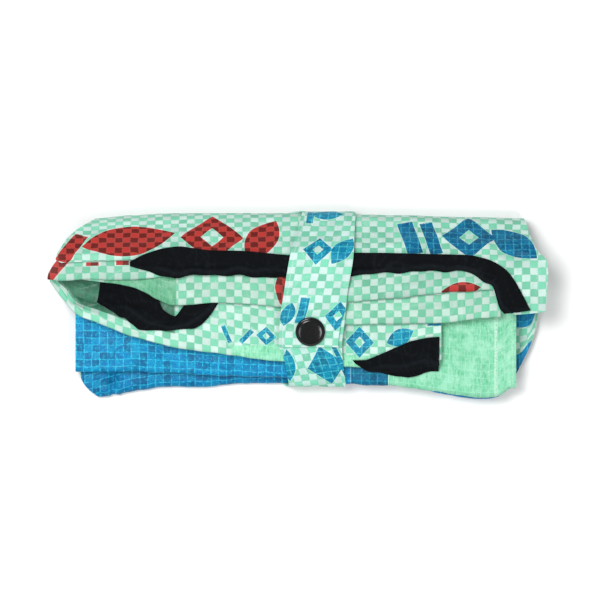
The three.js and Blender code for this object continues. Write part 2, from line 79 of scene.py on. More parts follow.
SECTION_COLUMNS = ("x", "far", "a", "b", "c", "d", "e", "f")
SECTIONS = (
    (-174, 56.0, 28.0, 17.0, 19.5, 17.5, -46.2, -64.0),
    (-165, 57.5, 28.3, 16.3, 18.9, 5.2, -46.2, -64.2),
    (-154, 58.6, 28.7, 16.8, 17.5, -7.4, -47.6, -64.6),
    (-139, 59.6, 30.1, 17.1, 15.4, -13.5, -47.6, -65.0),
    (-118, 61.3, 32.0, 17.1, 11.8, -21.7, -47.0, -61.3),
    (-106, 62.1, 30.2, 17.8, 7.6, -25.0, -47.6, -59.8),
    (-97, 62.7, 28.7, 18.6, 2.8, -27.5, -48.3, -58.7),
    (-87, 62.8, 28.5, 19.6, -1.0, -29.6, -48.7, -58.4),
    (-55, 63.0, 28.0, 22.6, 0.4, -34.7, -50.0, -57.4),
    (-11, 63.0, 27.3, 22.0, -2.1, -40.2, -51.8, -55.2),
    (33, 62.3, 28.0, 1.4, -14.7, -44.1, -56.7, -54.8),
    (64, 61.6, 28.0, 3.9, -14.0, -44.8, -57.1, -55.6),
    (99, 60.6, 27.3, 7.7, -13.3, -39.9, -62.0, -63.0),
    (120, 60.2, 25.9, 9.1, -11.2, -38.0, -64.4, -65.5),
    (132, 60.0, 18.9, 9.8, -9.8, -38.0, -65.1, -66.2),
    (141, 59.8, -3.5, 9.8, -9.1, -38.0, -63.8, -64.4),
    (150, 59.4, -7.7, 9.8, -9.1, -38.0, -58.8, -57.0),
    (175, 58.4, -5.6, 9.8, -9.1, -38.0, -58.8, -55.0),
)
# Each layer's share of the pile's height, at the left end and at the right end.
LAYERS = {
    "f_top": (0.2, 0.18),
    "e_bottom": (0.3, 0.33),
    "e_top": (0.44, 0.53),
    "d_bottom": (0.67, 0.62),
    "d_top": (0.73, 0.69),
    "c_bottom": (0.83, 0.77),
    "c_top": (0.875, 0.83),
    "b_bottom": (0.91, 0.89),
    "b_top": (0.96, 0.95),
    "a": (1.03, 1.02),
}
TROUGH = {"share": 0.22, "x": -140.0, "reach": 62.0, "y": 6.3, "slant": -0.14, "half": 13.5}
# Where each layer stops at its left and its right, by how far back it is: y, left, right.
ENDS = {
    "a": (
        (-8, -160, 171.9),
        (17, -160, 173.6),
        (26, -161, 174.2),
        (31, -169, 172.5),
        (37, -166, 166.1),
        (48, -159, 162.0),
        (59, -143, 158.5),
        (63, -137, 156.0),
    ),
    "under": (
        (-66, -138, 143),
        (-60, -146, 148),
        (-52, -150, 150),
        (-38, -151, 157),
        (-28, -151, 163),
        (0, -151, 166),
        (63, -138, 156),
    ),
    "b": ((20, -174.4, 136), (29, -169, 136), (37, -161, 136)),
    "c": ((22, -165.5, 141), (41, -158, 141)),
    "d": ((10, -170.5, 100), (20, -173.6, 100), (29, -168.5, 100), (46, -155, 100)),
    "e": ((20, -156, 152.6), (48, -150, 152.6)),
    "f": (
        (-66, -139, 142),
        (-60, -147.8, 148),
        (-54, -151.3, 151),
        (-38, -153, 159.5),
        (-28, -153, 165.2),
        (-18, -153, 167.2),
        (0, -152, 168.6),
        (50, -148, 160),
    ),
}
BACK = {"f": 50.0, "e": 48.0, "d": 46.0, "c": 41.0, "b": 37.0, "b_end": 32.0}
FOLD_INSET = {"b": 1.2, "c": 1.2, "d": 1.6, "e": 2.6, "f": 4.5}

# The two edges of each handle tape, from end to end: far x and y, near x and y.
HANDLES = {
    "handle_top": (
        (-117, 29.0, -117, 26.0),
        (-108, 34.0, -107, 23.0),
        (-96, 38.0, -95, 18.8),
        (-83, 40.0, -84, 18.0),
        (-62, 37.0, -62, 20.3),
        (-36, 36.6, -36, 19.0),
        (-6, 33.5, -8, 18.0),
        (38, 35.4, 37, 19.6),
        (66, 35.1, 66, 21.5),
        (100, 34.2, 99, 22.6),
        (120, 33.8, 117, 22.6),
        (133, 30.6, 126, 18.0),
        (141, 26.4, 132, 14.0),
        (147, 21.2, 136, 11.0),
        (152, 13.6, 137.6, 4.6),
        (157, 4.2, 139.6, -2.0),
        (161.6, -4.8, 143.2, -8.0),
    ),
    "handle_mouth_left": (
        (-137.3, 19.0, -140.5, 1.0),
        (-126.8, 17.0, -129.4, -5.6),
        (-111.0, 13.0, -121.6, -10.6),
        (-99.0, 6.6, -116.6, -13.6),
        (-94.6, -4.0, -111.6, -17.8),
        (-89.6, -7.6, -100.6, -18.8),
        (-85.6, -9.2, -92.6, -20.0),
        (-84.0, -7.4, -80.6, -18.6),
        (-81.0, -3.0, -72.4, -17.6),
        (-77.8, 0.4, -66.4, -13.6),
        (-75.0, 2.4, -60.6, -7.4),
        (-72.0, 4.0, -54.6, 2.6),
    ),
    "handle_mouth_right": (
        (38, -39.6, 40, -42.0),
        (48, -39.4, 46, -46.0),
        (63, -33.0, 60, -49.4),
        (78, -26.4, 76, -51.6),
        (90, -23.8, 89, -49.0),
        (98.6, -23.2, 98.2, -47.4),
    ),
}
# The strap's two edges, by how far back they are: y, left, right.
STRAP_EDGES = (
    (-62, -5.5, 34.0),
    (-50, -7.5, 32.5),
    (-36, -10.5, 30.8),
    (-29, -13.5, 30.6),
    (-12, -12.6, 32.4),
    (8, -9.8, 34.4),
    (33, -5.5, 38.4),
    (50, -0.5, 39.4),
    (66, 3.5, 40.6),
)
STRAP_START_Y = -4.0
STRAP_END_Y = -30.0
SNAP_AT = (8.5, -19.3)
SNAP_RADIUS = 10.4

# Main creases: zone, both ends (x, y), half width, and height (a trough is
# negative).
CREASES = (
    ("f", (-129.0, -46.0), (-130.5, -64.0), 2.2, -1.7),
    ("f", (-124.5, -49.0), (-126.0, -63.0), 1.6, 0.6),
    ("f", (-134.5, -50.0), (-135.0, -63.0), 1.5, 0.9),
    ("f", (-145.0, -52.0), (-136.0, -63.0), 1.8, 0.5),
    ("e", (138.6, -9.0), (138.0, -62.0), 1.1, 0.9),
    ("e", (147.5, -12.0), (146.0, -58.0), 1.6, -0.35),
    ("e", (-150.0, -42.5), (-20.0, -47.5), 2.0, -0.5),
    ("e", (-128.0, -24.0), (-112.0, -44.0), 2.0, 0.55),
    ("e", (-104.0, -32.0), (-86.0, -46.0), 1.8, -0.4),
    ("e", (-70.0, -39.0), (-40.0, -45.0), 1.8, 0.4),
    ("e", (105.0, -12.0), (112.0, -60.0), 3.0, 0.4),
    ("d", (-162.0, 0.0), (-100.0, -22.0), 1.0, 0.5),
    ("d", (-158.0, 4.0), (-112.0, -12.5), 1.0, 0.45),
    ("d", (-60.0, -18.0), (-16.0, -24.0), 2.0, 0.4),
    ("c", (-100.0, 6.0), (-20.0, 5.0), 2.2, 0.45),
    ("c", (-118.0, 12.0), (-80.0, 3.0), 1.6, -0.5),
    ("c", (50.0, -6.0), (130.0, -3.0), 2.4, 0.4),
    ("b", (-160.0, 22.5), (-112.0, 22.0), 1.8, 0.5),
    ("b", (40.0, 11.0), (120.0, 13.0), 3.0, 0.5),
    ("a", (-160.0, 34.0), (-120.0, 33.0), 2.0, 0.5),
    ("a", (100.0, 44.0), (160.0, 36.0), 2.4, 0.5),
    ("a", (150.0, 30.0), (166.0, 4.0), 2.2, 0.6),
    ("a", (158.0, 24.0), (171.0, 12.0), 1.8, -0.4),
    ("a", (136.0, 38.0), (166.0, 30.0), 3.2, -0.9),
    ("a", (140.0, 30.0), (172.0, 20.0), 2.6, 0.8),
    ("a", (60.0, 38.0), (120.0, 52.0), 3.4, 0.8),
    ("a", (-100.0, 44.0), (-40.0, 56.0), 3.0, 0.7),
    ("a", (-60.0, 40.0), (-20.0, 50.0), 2.4, -0.7),
    ("a", (-150.0, 42.0), (-120.0, 58.0), 3.0, 0.7),
    ("a", (-166.0, 31.0), (-138.0, 33.5), 1.6, -0.5),
    ("b", (60.0, 20.0), (110.0, 9.0), 2.4, -0.6),
    ("c", (60.0, -9.0), (100.0, 2.0), 2.2, -0.5),
    ("d", (-70.0, -10.0), (-20.0, -34.0), 2.6, 0.6),
    ("d", (-60.0, -30.0), (-30.0, -12.0), 2.0, -0.5),
    ("d", (50.0, -20.0), (95.0, -34.0), 2.4, 0.6),
    ("handle_mouth_left", (-85.6, -8.0), (-98.0, -21.0), 0.9, -0.9),
    ("handle_mouth_left", (-84.0, -9.0), (-95.0, -21.5), 0.9, 0.8),
    ("handle_mouth_left", (-138.0, 8.0), (-100.0, -12.0), 1.4, 0.6),
    ("handle_mouth_left", (-130.0, 8.0), (-104.0, -6.0), 1.0, -0.5),
    ("handle_mouth_right", (52.0, -45.0), (96.0, -36.0), 1.3, 0.6),
    ("handle_mouth_right", (62.0, -49.0), (84.0, -42.0), 1.0, -0.6),
    ("handle_top", (134.0, 30.0), (140.0, 14.0), 1.2, -0.7),
    ("handle_top", (141.0, 29.0), (150.0, 2.0), 1.3, 0.5),
)

# Printed shapes: zone, colour, kind, middle (x, y), half sizes and turn in degrees. They are
# plain grains, lozenges and bars.
PRINTS = (
    ("a", "red", "grain", (-118.0, 44.0), (33.0, 15.0), 10),
    ("a", "red", "lozenge ring", (-61.0, 46.0), (22.0, 24.0), 0),
    ("a", "red", "grain", (-26.0, 44.0), (21.0, 11.0), 62),
    ("a", "red", "bar", (-158.0, 39.0), (5.0, 15.0), -28),
    ("a", "blue", "bar", (78.0, 46.0), (5.5, 15.0), 14),
    ("a", "blue", "bar", (93.0, 46.0), (4.5, 15.0), 14),
    ("a", "blue", "lozenge ring", (119.0, 45.0), (19.0, 20.0), 0),
    ("a", "blue", "grain", (151.0, 41.0), (21.0, 11.0), -42),
    ("b", "red", "bar", (-143.0, 27.5), (4.5, 1.6), 0),
    ("b", "red", "bar", (-122.0, 29.0), (4.5, 2.4), 0),
    ("b", "red", "bar", (-170.0, 25.0), (5.0, 9.5), -38),
    ("b", "red", "grain", (113.0, 10.5), (14.0, 5.0), 3),
    ("c", "red", "grain", (-10.5, 11.0), (5.0, 12.0), 0),
    ("d", "blue", "bar", (-50.0, -21.5), (1.6, 6.0), 25),
    ("d", "blue", "bar", (-36.0, -22.5), (1.6, 6.0), -42),
    ("d", "blue", "lozenge ring", (-21.5, -23.0), (7.0, 6.5), 0),
    ("d", "blue", "lozenge ring", (43.0, -27.0), (10.0, 11.0), 0),
    ("d", "blue", "grain", (71.0, -24.5), (10.0, 6.0), 20),
    ("d", "blue", "bar", (96.0, -14.4), (5.5, 1.0), -8),
    ("d", "blue", "grain", (-133.0, -2.0), (6.0, 2.6), -20),
    ("d", "blue", "grain", (-121.0, -7.0), (4.0, 2.0), -10),
    ("f", "blue", "bar", (162.0, -10.8), (10.0, 5.0), 0),
    ("f", "blue", "bar", (162.0, -39.0), (10.0, 13.0), 0),
    ("strap", "blue", "grain", (20.0, 62.5), (12.0, 6.0), 0),
    ("strap", "blue", "bar", (8.5, 61.0), (2.4, 7.0), 0),
    ("strap", "blue", "lozenge ring", (14.0, 37.5), (10.5, 11.0), 0),
    ("strap", "blue", "grain", (31.0, 37.0), (12.0, 7.0), 60),
    ("strap", "blue", "grain", (-7.5, -8.0), (8.5, 5.0), 80),
    ("strap", "blue", "bar", (3.5, -5.0), (3.2, 9.0), -4),
    ("strap", "blue", "lozenge ring", (27.5, -9.0), (9.0, 10.5), 0),
    ("strap end", "blue", "lozenge", (19.5, -44.0), (13.5, 14.5), 0),
    ("strap end", "blue", "bar", (31.0, -44.0), (1.7, 17.0), 6),
    ("strap end", "blue", "grain", (-6.5, -44.0), (12.0, 4.6), 78),
)
# Plain parts of the weave, in the cloth's own places: zone, colour, middle, half sizes and turn.
FIELDS = (
    # The plain stripe on c: darker than the other plain green, partly as painted shade.
    ("c", "deep", (-110.0, 0.0), (25.2, 90.0), 0),
    ("d", "plain", (-27.0, 4.0), (19.5, 6.0), 9),
    ("d", "plain", (38.0, 3.0), (12.0, 6.0), 0),
    # The mouth's inside: the cloth's unprinted inner face, darkened with painted shade.
    ("d", "inside", (-127.0, 31.5), (41.0, 22.0), 0),
    ("e", "plain", (118.0, 0.0), (55.0, 130.0), 0),
    ("e", "pale", (138.6, 30.0), (0.7, 27.0), 0),
    ("e", "blue", (-57.0, 0.0), (120.0, 130.0), 0),
    # Painted shade: the blue made darker where the strap and the mouth's right handle shade the base
    # panel.
    ("e", "navy", (50.0, 0.0), (13.0, 130.0), 0),
    ("f", "blue", (0.0, 0.0), (152.6, 130.0), 0),
)
# The grounds of the plain fields: how much of the weave each covers, its dark and light streaks,
# deeper mottling and pale mottling.
GROUNDS = {
    "plain": (1, "#6cc396", "#88d4b0", "#55ab7f", "#a3dfc3"),
    # The deep ground is darker partly as painted shade.
    "deep": (1, "#509c78", "#65b08c", "#478e67", "#7abd99"),
    # The inside ground: the plain inner face, made dark as painted shade in the mouth's hollow.
    "inside": (0.94, "#265a43", "#306b50", "#1b4a36", "#467f66"),
}
# Each zone's cloth and its blue print are multiplied by a grey or tint: partly a correction of
# their colour, partly painted shade, deepest on b, c and f.
ZONE_TINTS_AND_SHADE = {
    "a": ("#f6f7f8", "#b4cac8"),
    "b": ("#e6e9e7", "#ffffff"),
    "c": ("#eeefec", "#ffffff"),
    "d": ("#fafafa", "#f1fbe2"),
    "e": ("#f6f5f5", "#8cf8f8"),
    "f": ("#f0f6f6", "#9ce4e8"),
    "strap": ("#fafcff", "#f1fbe2"),
    "strap end": ("#f5fcff", "#eafae2"),
}
NO_TONE = ("#ffffff", "#ffffff")
# Painted shade on the blue print, where the strap and the right handle shade it.
PAINTED_SHADE_BLUE_TINT = "#a6c6c2"
PALE_INK = ("#6ec59c", "#c3ddcf")
RUBBED = "#cfe6dc"  # where the film has gone white along a crease
HALO = "#d9ebe1"
HALO_MM = 0.7  # the pale rim that a print leaves on the tape round it
RAGGED_MM = 0.3  # how uneven a print's outline is
RING_MIDDLE, RING_HALF = 0.68, 0.32  # where a ring's line runs, as shares of the ring's half size

# How the tapes stray: the noise's scale and detail, and how far, in tape widths.
STRAYS = ((0.09, 1.5, 0.34), (0.55, 2.0, 0.09))
# Noises over the cloth: the stretch along its x and y, the scale by millimetre and the detail.
# Streaks run along each tape: up the cloth on warp, across it on weft.
NOISES = {
    "warp streak": ((2.4, 0.16), 1.0, 3.0),
    "weft streak": ((0.16, 2.4), 1.0, 3.0),
    "mottle": ((1, 1), 0.12, 4.0),
    "fine": ((1, 1), 1.1, 3.0),
    "speck": ((1, 1), 0.4, 5.0),
    "fibre": ((1, 0.22), 0.9, 4.0),
}
# Bands along the tapes' edges: from and to, in tape widths, the values there and the blend.
BANDS = {
    "edge": (0.03, 0.12, 1, 0, "SMOOTHSTEP"),
    "crown": (0, 0.22, 0, 1, "SMOOTHSTEP"),
    "seam": (0.01, 0.09, 1, 0, "LINEAR"),
}
# Masks broken up by a noise: the mask, the noise, its low and high values and the values there.
BROKEN = {
    "lines": ("edge", "fine", 0.4, 0.62, 0, 1),
    "ground lines": ("edge", "fine", 0.38, 0.62, 0.08, 0.55),
    "rubbed": ("worn", "fine", 0.42, 0.62, 0.05, 0.3),
    "blue grid": ("seam", "speck", 0.4, 0.54, 0.06, 0.85),
}
# How each colour is built up: the share of its light at the bottom, and what is laid over it. A
# row has its mask, the mask's low and high values, how much shows at each, and the colour there,
# as a share of the light or as a hex value.
LAYERS_OF_COLOUR = {
    "mint": (0.9, (("streak", 0.25, 0.75, 0, 1, 1.1), ("tone", 0.2, 1, 0, 0.8, 0.72))),
    "white": (0.95, (("streak", 0.25, 0.75, 0, 1, 1.07), ("tone", 0.2, 1, 0, 0.7, 0.76))),
    "red over mint": (0.26, (("fine", 0.4, 0.7, 0, 1, 0.38),)),
    "red over white": (0.86, (("streak", 0.3, 0.7, 0, 1, 1.08),)),
    "blue": (
        0.86,
        (
            ("mottle", 0.35, 0.65, 0, 1, 1.22),
            ("tone", 0.45, 0.95, 0, 0.7, 0.5),
            ("tone", 0.05, 0.4, 0.65, 0, "#129bcb"),
            ("speck", 0.5, 0.58, 0, 0.55, "#0fa0c4"),
            ("fine", 0.5, 0.58, 0, 0.75, 0.5),
            ("rubbed", 0, 1, 0, 1, "#48b0d2"),
            ("blue grid", 0, 1, 0, 1, "#57c6e6"),
        ),
    ),
}

# The panels' relief, in millimetres. Waves have a length, a height and a place in the seeds.
WAVES = ((46, 0.55, 0), (17, 0.3, 40), (6, 0.07, 80))
FACET_HEIGHT = 0.4
ZONE_RELIEF = {"a": 1.25, "b": 0.65, "c": 0.65, "d": 0.8, "e": 1.0, "f": 1.0}  # how creased each is
CREASE_GAIN = 1.35  # how much deeper a panel's main creases are than their table says
CALM_FAR_SLOPE = {"y": (46, 58), "share": 0.75}
PRESSED_FLAT = (1.0, 4.0)  # creases die away between these heights
# The mouth's hem: its sewn lines from the edge, their depth and half width, how much the hem
# stands out and how wide it is, and where it dies away along the mouth.
HEM = {"lines": (1.8, 4.8), "depth": 0.4, "half": 0.6, "lift": 0.5, "edge": (6, 7.5), "x": (-75, -50)}
HIDDEN_STEP = 4.0  # between rows where the cloth doesn't show
HIDDEN_BEHIND_Y = 30
BURIED_LINES = {"base_panel": 3, "front_panel": 5}  # a section's first lines, which don't show

# How a handle tape lies, in millimetres.
TAPE_POINTS = 19  # across
TAPE_REACH = 2.2  # how far round each point it feels for the cloth under it
TAPE_ROUNDS, TAPE_SINK = 3, 0.15  # rounds of smoothing, and how far they may let it down
TAPE_GAP = 0.35  # between it and the cloth
TAPE_THINNING = 0.55  # how much thinner its edges are
MOUTH_CEILING = 0.8  # what a tape in the mouth keeps from the fold over it
ABOVE_ALL = 80.0
TAPE_FACETS = {"size": 9.0, "height": 0.32}
TAPE_WAVES = {"length": 13, "height": 0.15}
# Its near edge wanders in waves: their height, length by radian and share of the seed.
TAPE_EDGE = ((0.5, 5.1, 1), (0.4, 2.7, 2))
TAPE_TROUGH = {"height": -0.55, "at": 0.0, "half": 1.3}
TAPE_RIDGE = {"height": 0.75, "at": 2.4, "half": 1.5}

# How the strap is made, in millimetres.
STRAP_STEP = 1.3  # between rows
STRAP_POINTS = 72  # across
STRAP_MARGIN = 0.35  # over what it goes round
STRAP_SAMPLES = 4000  # along one lap, where its ends are looked for
STRAP_BAND = (-22, 46)  # the part of the bag that it goes round, from left to right
STRAP_FLOOR_INSET = 10  # how much narrower that is near the surface
STRAP_FLOOR = 3  # the height that counts as near it
STRAP_ROUNDING = 2.2  # half the length over which its bends are rounded
STRAP_LAP_GAP = 0.5
STRAP_LAP = (16, 4)  # the free end rises between these places before the lap
STRAP_FREE = 8  # the free end starts this far before the lap
STRAP_TUCK = 2.6  # how far the free end's right side lies inside the band under it
STRAP_END_TURN = -8  # degrees, of the weave on the inner end
STRAP_END_SHARE = 0.3  # of a lap, that counts as the inner end
STRAP_FACETS = {"size": 15.0, "height": 0.3, "seed": 31}
STRAP_HEM = ((0.22, 1.2, 1.0), (-0.12, 3.4, 0.7))  # height, place from the edge and half width
STRAP_SEWN = {"depth": 0.3, "at": 2.3, "half": 0.55, "worn": 2.2}

# The snap cap's profile: radius as a share of its own, and height in millimetres.
SNAP_PROFILE = (
    (0.93, 0),
    (0.985, 0.35),
    (1, 1.0),
    (0.985, 1.7),
    (0.955, 2.2),
    (0.93, 2.4),
    (0.905, 2.42),
    (0.88, 2.62),
    (0.86, 2.85),
    (0.825, 3.12),
    (0.77, 3.33),
    (0.68, 3.47),
    (0.5, 3.56),
    (0.08, 3.6),
)
SNAP_SIDES = 96
SNAP_GAP = 0.15  # between it and the strap
SNAP_SEAT_ROWS = 6  # of the strap, on each side of it, that tilt it
FREE_END_ROWS = 60  # of the strap, where it is looked for

# The studio, in metres: each light's place, width and share of the main light's power.
LIGHTS = {
    "key_light": ((-0.5, 0.4, 1.8), 0.7, 1.0),
    "near_light_left": ((-0.7, -0.75, 1.6), 0.6, 0.2),
    "near_light_right": ((0.6, -0.75, 1.6), 0.5, 0.31),
}
LIGHT_AIM = (0, 0, 0.02)
FLOOR_HALF = 3.0
SENSOR_MM = 36
FOCUS_HEIGHT = 0.02  # the middle of the pile keeps the view's scale


def linear(hex_colour):
    """The linear colour of an sRGB hex value."""
    parts = [int(hex_colour[i : i + 2], 16) / 255 for i in (1, 3, 5)]
    return [p / 12.92 if p <= 0.04045 else ((p + 0.055) / 1.055) ** 2.4 for p in parts] + [1.0]


def smoothstep(start, end, value):
    """0 before start, 1 after end, and a soft step between."""
    share = np.clip((value - start) / (end - start), 0, 1)
    return share * share * (3 - 2 * share)


def smooth_curve(keys, values):
    """A smooth curve through a table's rows, with no overshoot between them."""
    keys, values = np.array(keys, float), np.array(values, float)
    slopes = np.diff(values) / np.diff(keys)
    before, after = slopes[:-1], slopes[1:]
    same = before * after > 0
    inner = np.where(same, 2 * before * after / np.where(same, before + after, 1), 0)
    tangents = np.concatenate([slopes[:1], inner, slopes[-1:]])

    def value(at):
        at = np.clip(at, keys[0], keys[-1])
        i = np.clip(np.searchsorted(keys, at, side="right") - 1, 0, len(keys) - 2)
        width = keys[i + 1] - keys[i]
        s = (at - keys[i]) / width
        return (
            values[i] * (1 + 2 * s) * (1 - s) ** 2
            + tangents[i] * width * s * (1 - s) ** 2
            + values[i + 1] * s * s * (3 - 2 * s)
            + tangents[i + 1] * width * s * s * (s - 1)
        )

    return value


def table_curves(rows, names):
    """One smooth curve for each column of a table, by its first column."""
    columns = np.array(rows, float).T
    return {name: smooth_curve(columns[0], column) for name, column in zip(names, columns)}


EDGE = table_curves(SECTIONS, SECTION_COLUMNS)
END = {name: table_curves(rows, ("y", "left", "right")) for name, rows in ENDS.items()}
STRAP_EDGE = table_curves(STRAP_EDGES, ("y", "left", "right"))


def pile_height(x, y):
    """Height of the top of the pile: level, then down the far slope with a soft bend."""
    share = (y - RIDGE_Y) / (EDGE["far"](x) - RIDGE_Y)
    bend = (np.maximum(share, -SOFT_BEND) + SOFT_BEND) ** 2 / (4 * SOFT_BEND)
    return PILE * (1 - FAR_DROP * np.where(share < SOFT_BEND, bend, share))


def layer_height(layer, x, y):
    """Height of the middle of a layer's cloth above the surface."""
    left, right = LAYERS[layer]
    share = left + (right - left) * smoothstep(-60, 60, x)
    if layer in ("d_top", "d_bottom"):
        near = 1 - smoothstep(0, TROUGH["reach"], np.abs(x - TROUGH["x"]))
        middle = TROUGH["y"] + TROUGH["slant"] * (x - TROUGH["x"])
        across = np.maximum(0, 1 - ((y - middle) / TROUGH["half"]) ** 2)
        share = share - TROUGH["share"] * near * across**1.3
    return share * pile_height(x, y)


def underside_height(x):
    """The underside is flat, and rises a little over the strap."""
    over = 1 - smoothstep(STRAP_HALF + 2, STRAP_HALF + 14, np.abs(x - STRAP_X))
    return CLOTH / 2 + STRAP_LIFT * over


class Key:
    """One line of a panel's section: its zone, its y and z for an x, and whose ends it has."""

    def __init__(self, zone, at, ends=None, origin=False):
        self.zone, self.at, self.ends, self.origin = zone, at, ends or zone, origin


def run(zone, layer, from_y, to_y, count):
    """A run of cloth between two places on a layer."""

    def key(share):
        def at(x):
            y = from_y(x) + (to_y(x) - from_y(x)) * share
            return y, layer_height(layer, x, y)

        return Key(zone, at)

    return [key(i / (count - 1)) for i in range(count)]


def fold(zone, lower, upper, ends, edge_y, side, flat, count):
    """Half an ellipse from one layer's end up to the next one's."""

    def key(i):
        turn = math.pi * (i + 1) / (count + 1)

        def at(x):
            tip = edge_y(x)
            low, high = layer_height(lower, x, tip), layer_height(upper, x, tip)
            half = (high - low) / 2
            y = tip - side * half * flat * (1 - math.sin(turn))
            return y, (low + high) / 2 - half * math.cos(turn)

        return Key(zone, at, ends, origin=i == count // 2 and side < 0)

    return [key(i) for i in range(count)]


def near_of(name, inset=0.0):
    """A layer's near edge, or a place a little behind it."""
    return lambda x: EDGE[name](x) + inset


def back_at(y):
    """A place at one distance back."""
    return lambda x: np.full(np.shape(x), float(y))


def back_panel_section():
    """The outer panel, from its hem on top round to the near fold."""
    top = run("a", "a", near_of("a"), back_at(RIDGE_Y - 4), 5)
    top[-1].origin = True

    def slope_y(x, share):
        return RIDGE_Y + (EDGE["far"](x) - RIDGE_Y) * share

    def slope_key(back):
        return Key("a", lambda x: (slope_y(x, back), layer_height("a", x, slope_y(x, back))))

    def turn_key(back, share):
        return Key("a", lambda x: (slope_y(x, back), np.full(np.shape(x), PILE * share)))

    def floor_key(place):
        return Key("under", lambda x: (place(x), underside_height(x)))

    def fold_key(share):
        first, last = NEAR_FOLD[0], NEAR_FOLD[-1]

        def at(x):
            tip = EDGE["f"](x)
            low, high = underside_height(x), layer_height("f_top", x, tip)
            sweep = math.sin(math.pi * (first + (last - first) * share))
            return tip + FOLD_INSET["f"] * (1 - sweep), low + (high - low) * share

        return Key("f", at, origin=share == 0.5)

    slope = [slope_key(back) for back in SLOPE_PLACES]
    turn = [turn_key(*row) for row in FAR_TURN]
    floor_places = [
        lambda x: slope_y(x, 0.76),
        lambda x: slope_y(x, 0.36),
        back_at(10),
        back_at(-18),
        near_of("f", 9),
    ]
    floor = [floor_key(place) for place in floor_places]
    near_fold = [fold_key(share) for share in NEAR_FOLD]
    inner = run("f", "f_top", near_of("f", FOLD_INSET["f"] + 3), back_at(BACK["f"]), 4)
    return [*top, *slope, *turn, *floor, *near_fold, *inner]


def base_panel_section():
    """The base panel, one flat fold."""
    return [
        *run("e", "e_bottom", back_at(BACK["e"]), near_of("e", 6), 4),
        *fold("e", "e_bottom", "e_top", "e", near_of("e"), -1, 0.75, 5),
        *run("e", "e_top", near_of("e", 6), back_at(BACK["e"]), 6),
    ]


def front_panel_section():
    """The front panel, three folds laid back and forth, with the mouth's lip at the lowest."""
    return [
        *run("d", "d_bottom", back_at(BACK["d"]), near_of("d", FOLD_INSET["d"] + 1), 6),
        *fold("d", "d_bottom", "d_top", "d", near_of("d"), -1, 1, 3),
        *run("d", "d_top", near_of("d", FOLD_INSET["d"] + 1), back_at(24), 9),
        *run("d", "d_top", back_at(30), back_at(BACK["d"]), 3),
        *fold("d", "d_top", "c_bottom", "c", back_at(BACK["d"] + 1.5), 1, 1, 2),
        *run("c", "c_bottom", back_at(BACK["c"]), near_of("c", FOLD_INSET["c"]), 3),
        *fold("c", "c_bottom", "c_top", "c", near_of("c"), -1, 1, 3),
        *run("c", "c_top", near_of("c", FOLD_INSET["c"]), back_at(BACK["c"] - 2), 4),
        *fold("c", "c_top", "b_bottom", "b", back_at(BACK["c"]), 1, 1, 2),
        *run("b", "b_bottom", back_at(BACK["b"]), near_of("b", FOLD_INSET["b"]), 3),
        *fold("b", "b_bottom", "b_top", "b", near_of("b"), -1, 1, 3),
        *run("b", "b_top", near_of("b", FOLD_INSET["b"]), back_at(BACK["b_end"]), 3),
    ]


def settle(keys, stations):
    """The keys' points at every station. A layer's end depends on y and y on x, so it takes rounds."""
    share = np.linspace(0, 1, stations)
    share = share - END_CROWDING * np.sin(2 * np.pi * share)
    rows = []
    for key in keys:
        x = np.zeros(stations)
        for _ in range(SETTLE_ROUNDS):
            y = key.at(x)[0]
            left, right = END[key.ends]["left"](y), END[key.ends]["right"](y)
            x = left + (right - left) * share
        rows.append(np.stack([x, *key.at(x)], axis=1))
    return np.array(rows)


def refine(rows, step):
    """A smooth sheet through rows of points, with a row about every step along it."""
    lengths = np.maximum(np.linalg.norm(np.diff(rows, axis=0), axis=2), 1e-3)
    slopes = np.diff(rows, axis=0) / lengths[..., None]
    before, after = lengths[:-1, :, None], lengths[1:, :, None]
    inner = (slopes[:-1] * after + slopes[1:] * before) / (before + after)
    tangents = np.concatenate([slopes[:1], inner, slopes[-1:]])
    fine, index = [], []
    for i in range(len(rows) - 1):
        count = max(1, round(float(np.median(lengths[i])) / step[i]))
        for s in np.arange(count) / count:
            long = lengths[i][:, None]
            fine.append(
                rows[i] * (1 + 2 * s) * (1 - s) ** 2
                + tangents[i] * long * s * (1 - s) ** 2
                + rows[i + 1] * s * s * (3 - 2 * s)
                + tangents[i + 1] * long * s * s * (s - 1)
            )
            index.append(i + s)
    return np.array([*fine, rows[-1]]), np.array([*index, len(rows) - 1.0])


def ripples(u, v, length, seed):
    """Soft irregular waves of about one length, from about -1 to 1."""
    rng = np.random.default_rng(seed)
    total = np.zeros_like(u)
    for _ in range(6):
        angle, reach = rng.uniform(0, np.pi), length * rng.uniform(0.7, 1.5)
        phase = rng.uniform(0, 6.3, 3)
        sway = np.sin(u / (1.9 * length) + phase[0]) + np.sin(v / (1.6 * length) + phase[1])
        turn = 2 * np.pi * (u * np.cos(angle) + v * np.sin(angle)) / reach
        total += np.sin(turn + 1.2 * sway + phase[2]) * reach / length
    return total / 3.5


def crumple(u, v, size, seed):
    """Facets and sharp creases, as stiff cloth has where it was folded before: height and crease."""
    rng = np.random.default_rng(seed)
    height, crease = np.zeros_like(u), np.zeros_like(u)
    for _ in range(8):
        angle, length = rng.uniform(0, np.pi), size * rng.uniform(0.6, 1.6)
        phase, sway = rng.uniform(0, 6.3, 4), rng.uniform(0.8, 1.6)
        bent = np.sin(u / (0.8 * size) + phase[0]) + np.sin(v / (0.7 * size) + phase[1])
        place = (u * np.cos(angle) + v * np.sin(angle)) / length + sway * bent / 4 + phase[2]
        wave = np.abs(place % 1 - 0.5) * 4 - 1
        along = np.sin(u / (1.1 * size) - phase[1]) * np.sin(v / (0.9 * size) + phase[3])
        gate = smoothstep(-0.1, 0.6, along)
        height += wave * gate * length / size
        crease += gate * np.exp(-(((1 - wave) / 0.16) ** 2))
    return height / 3, np.clip(crease, 0, 1)


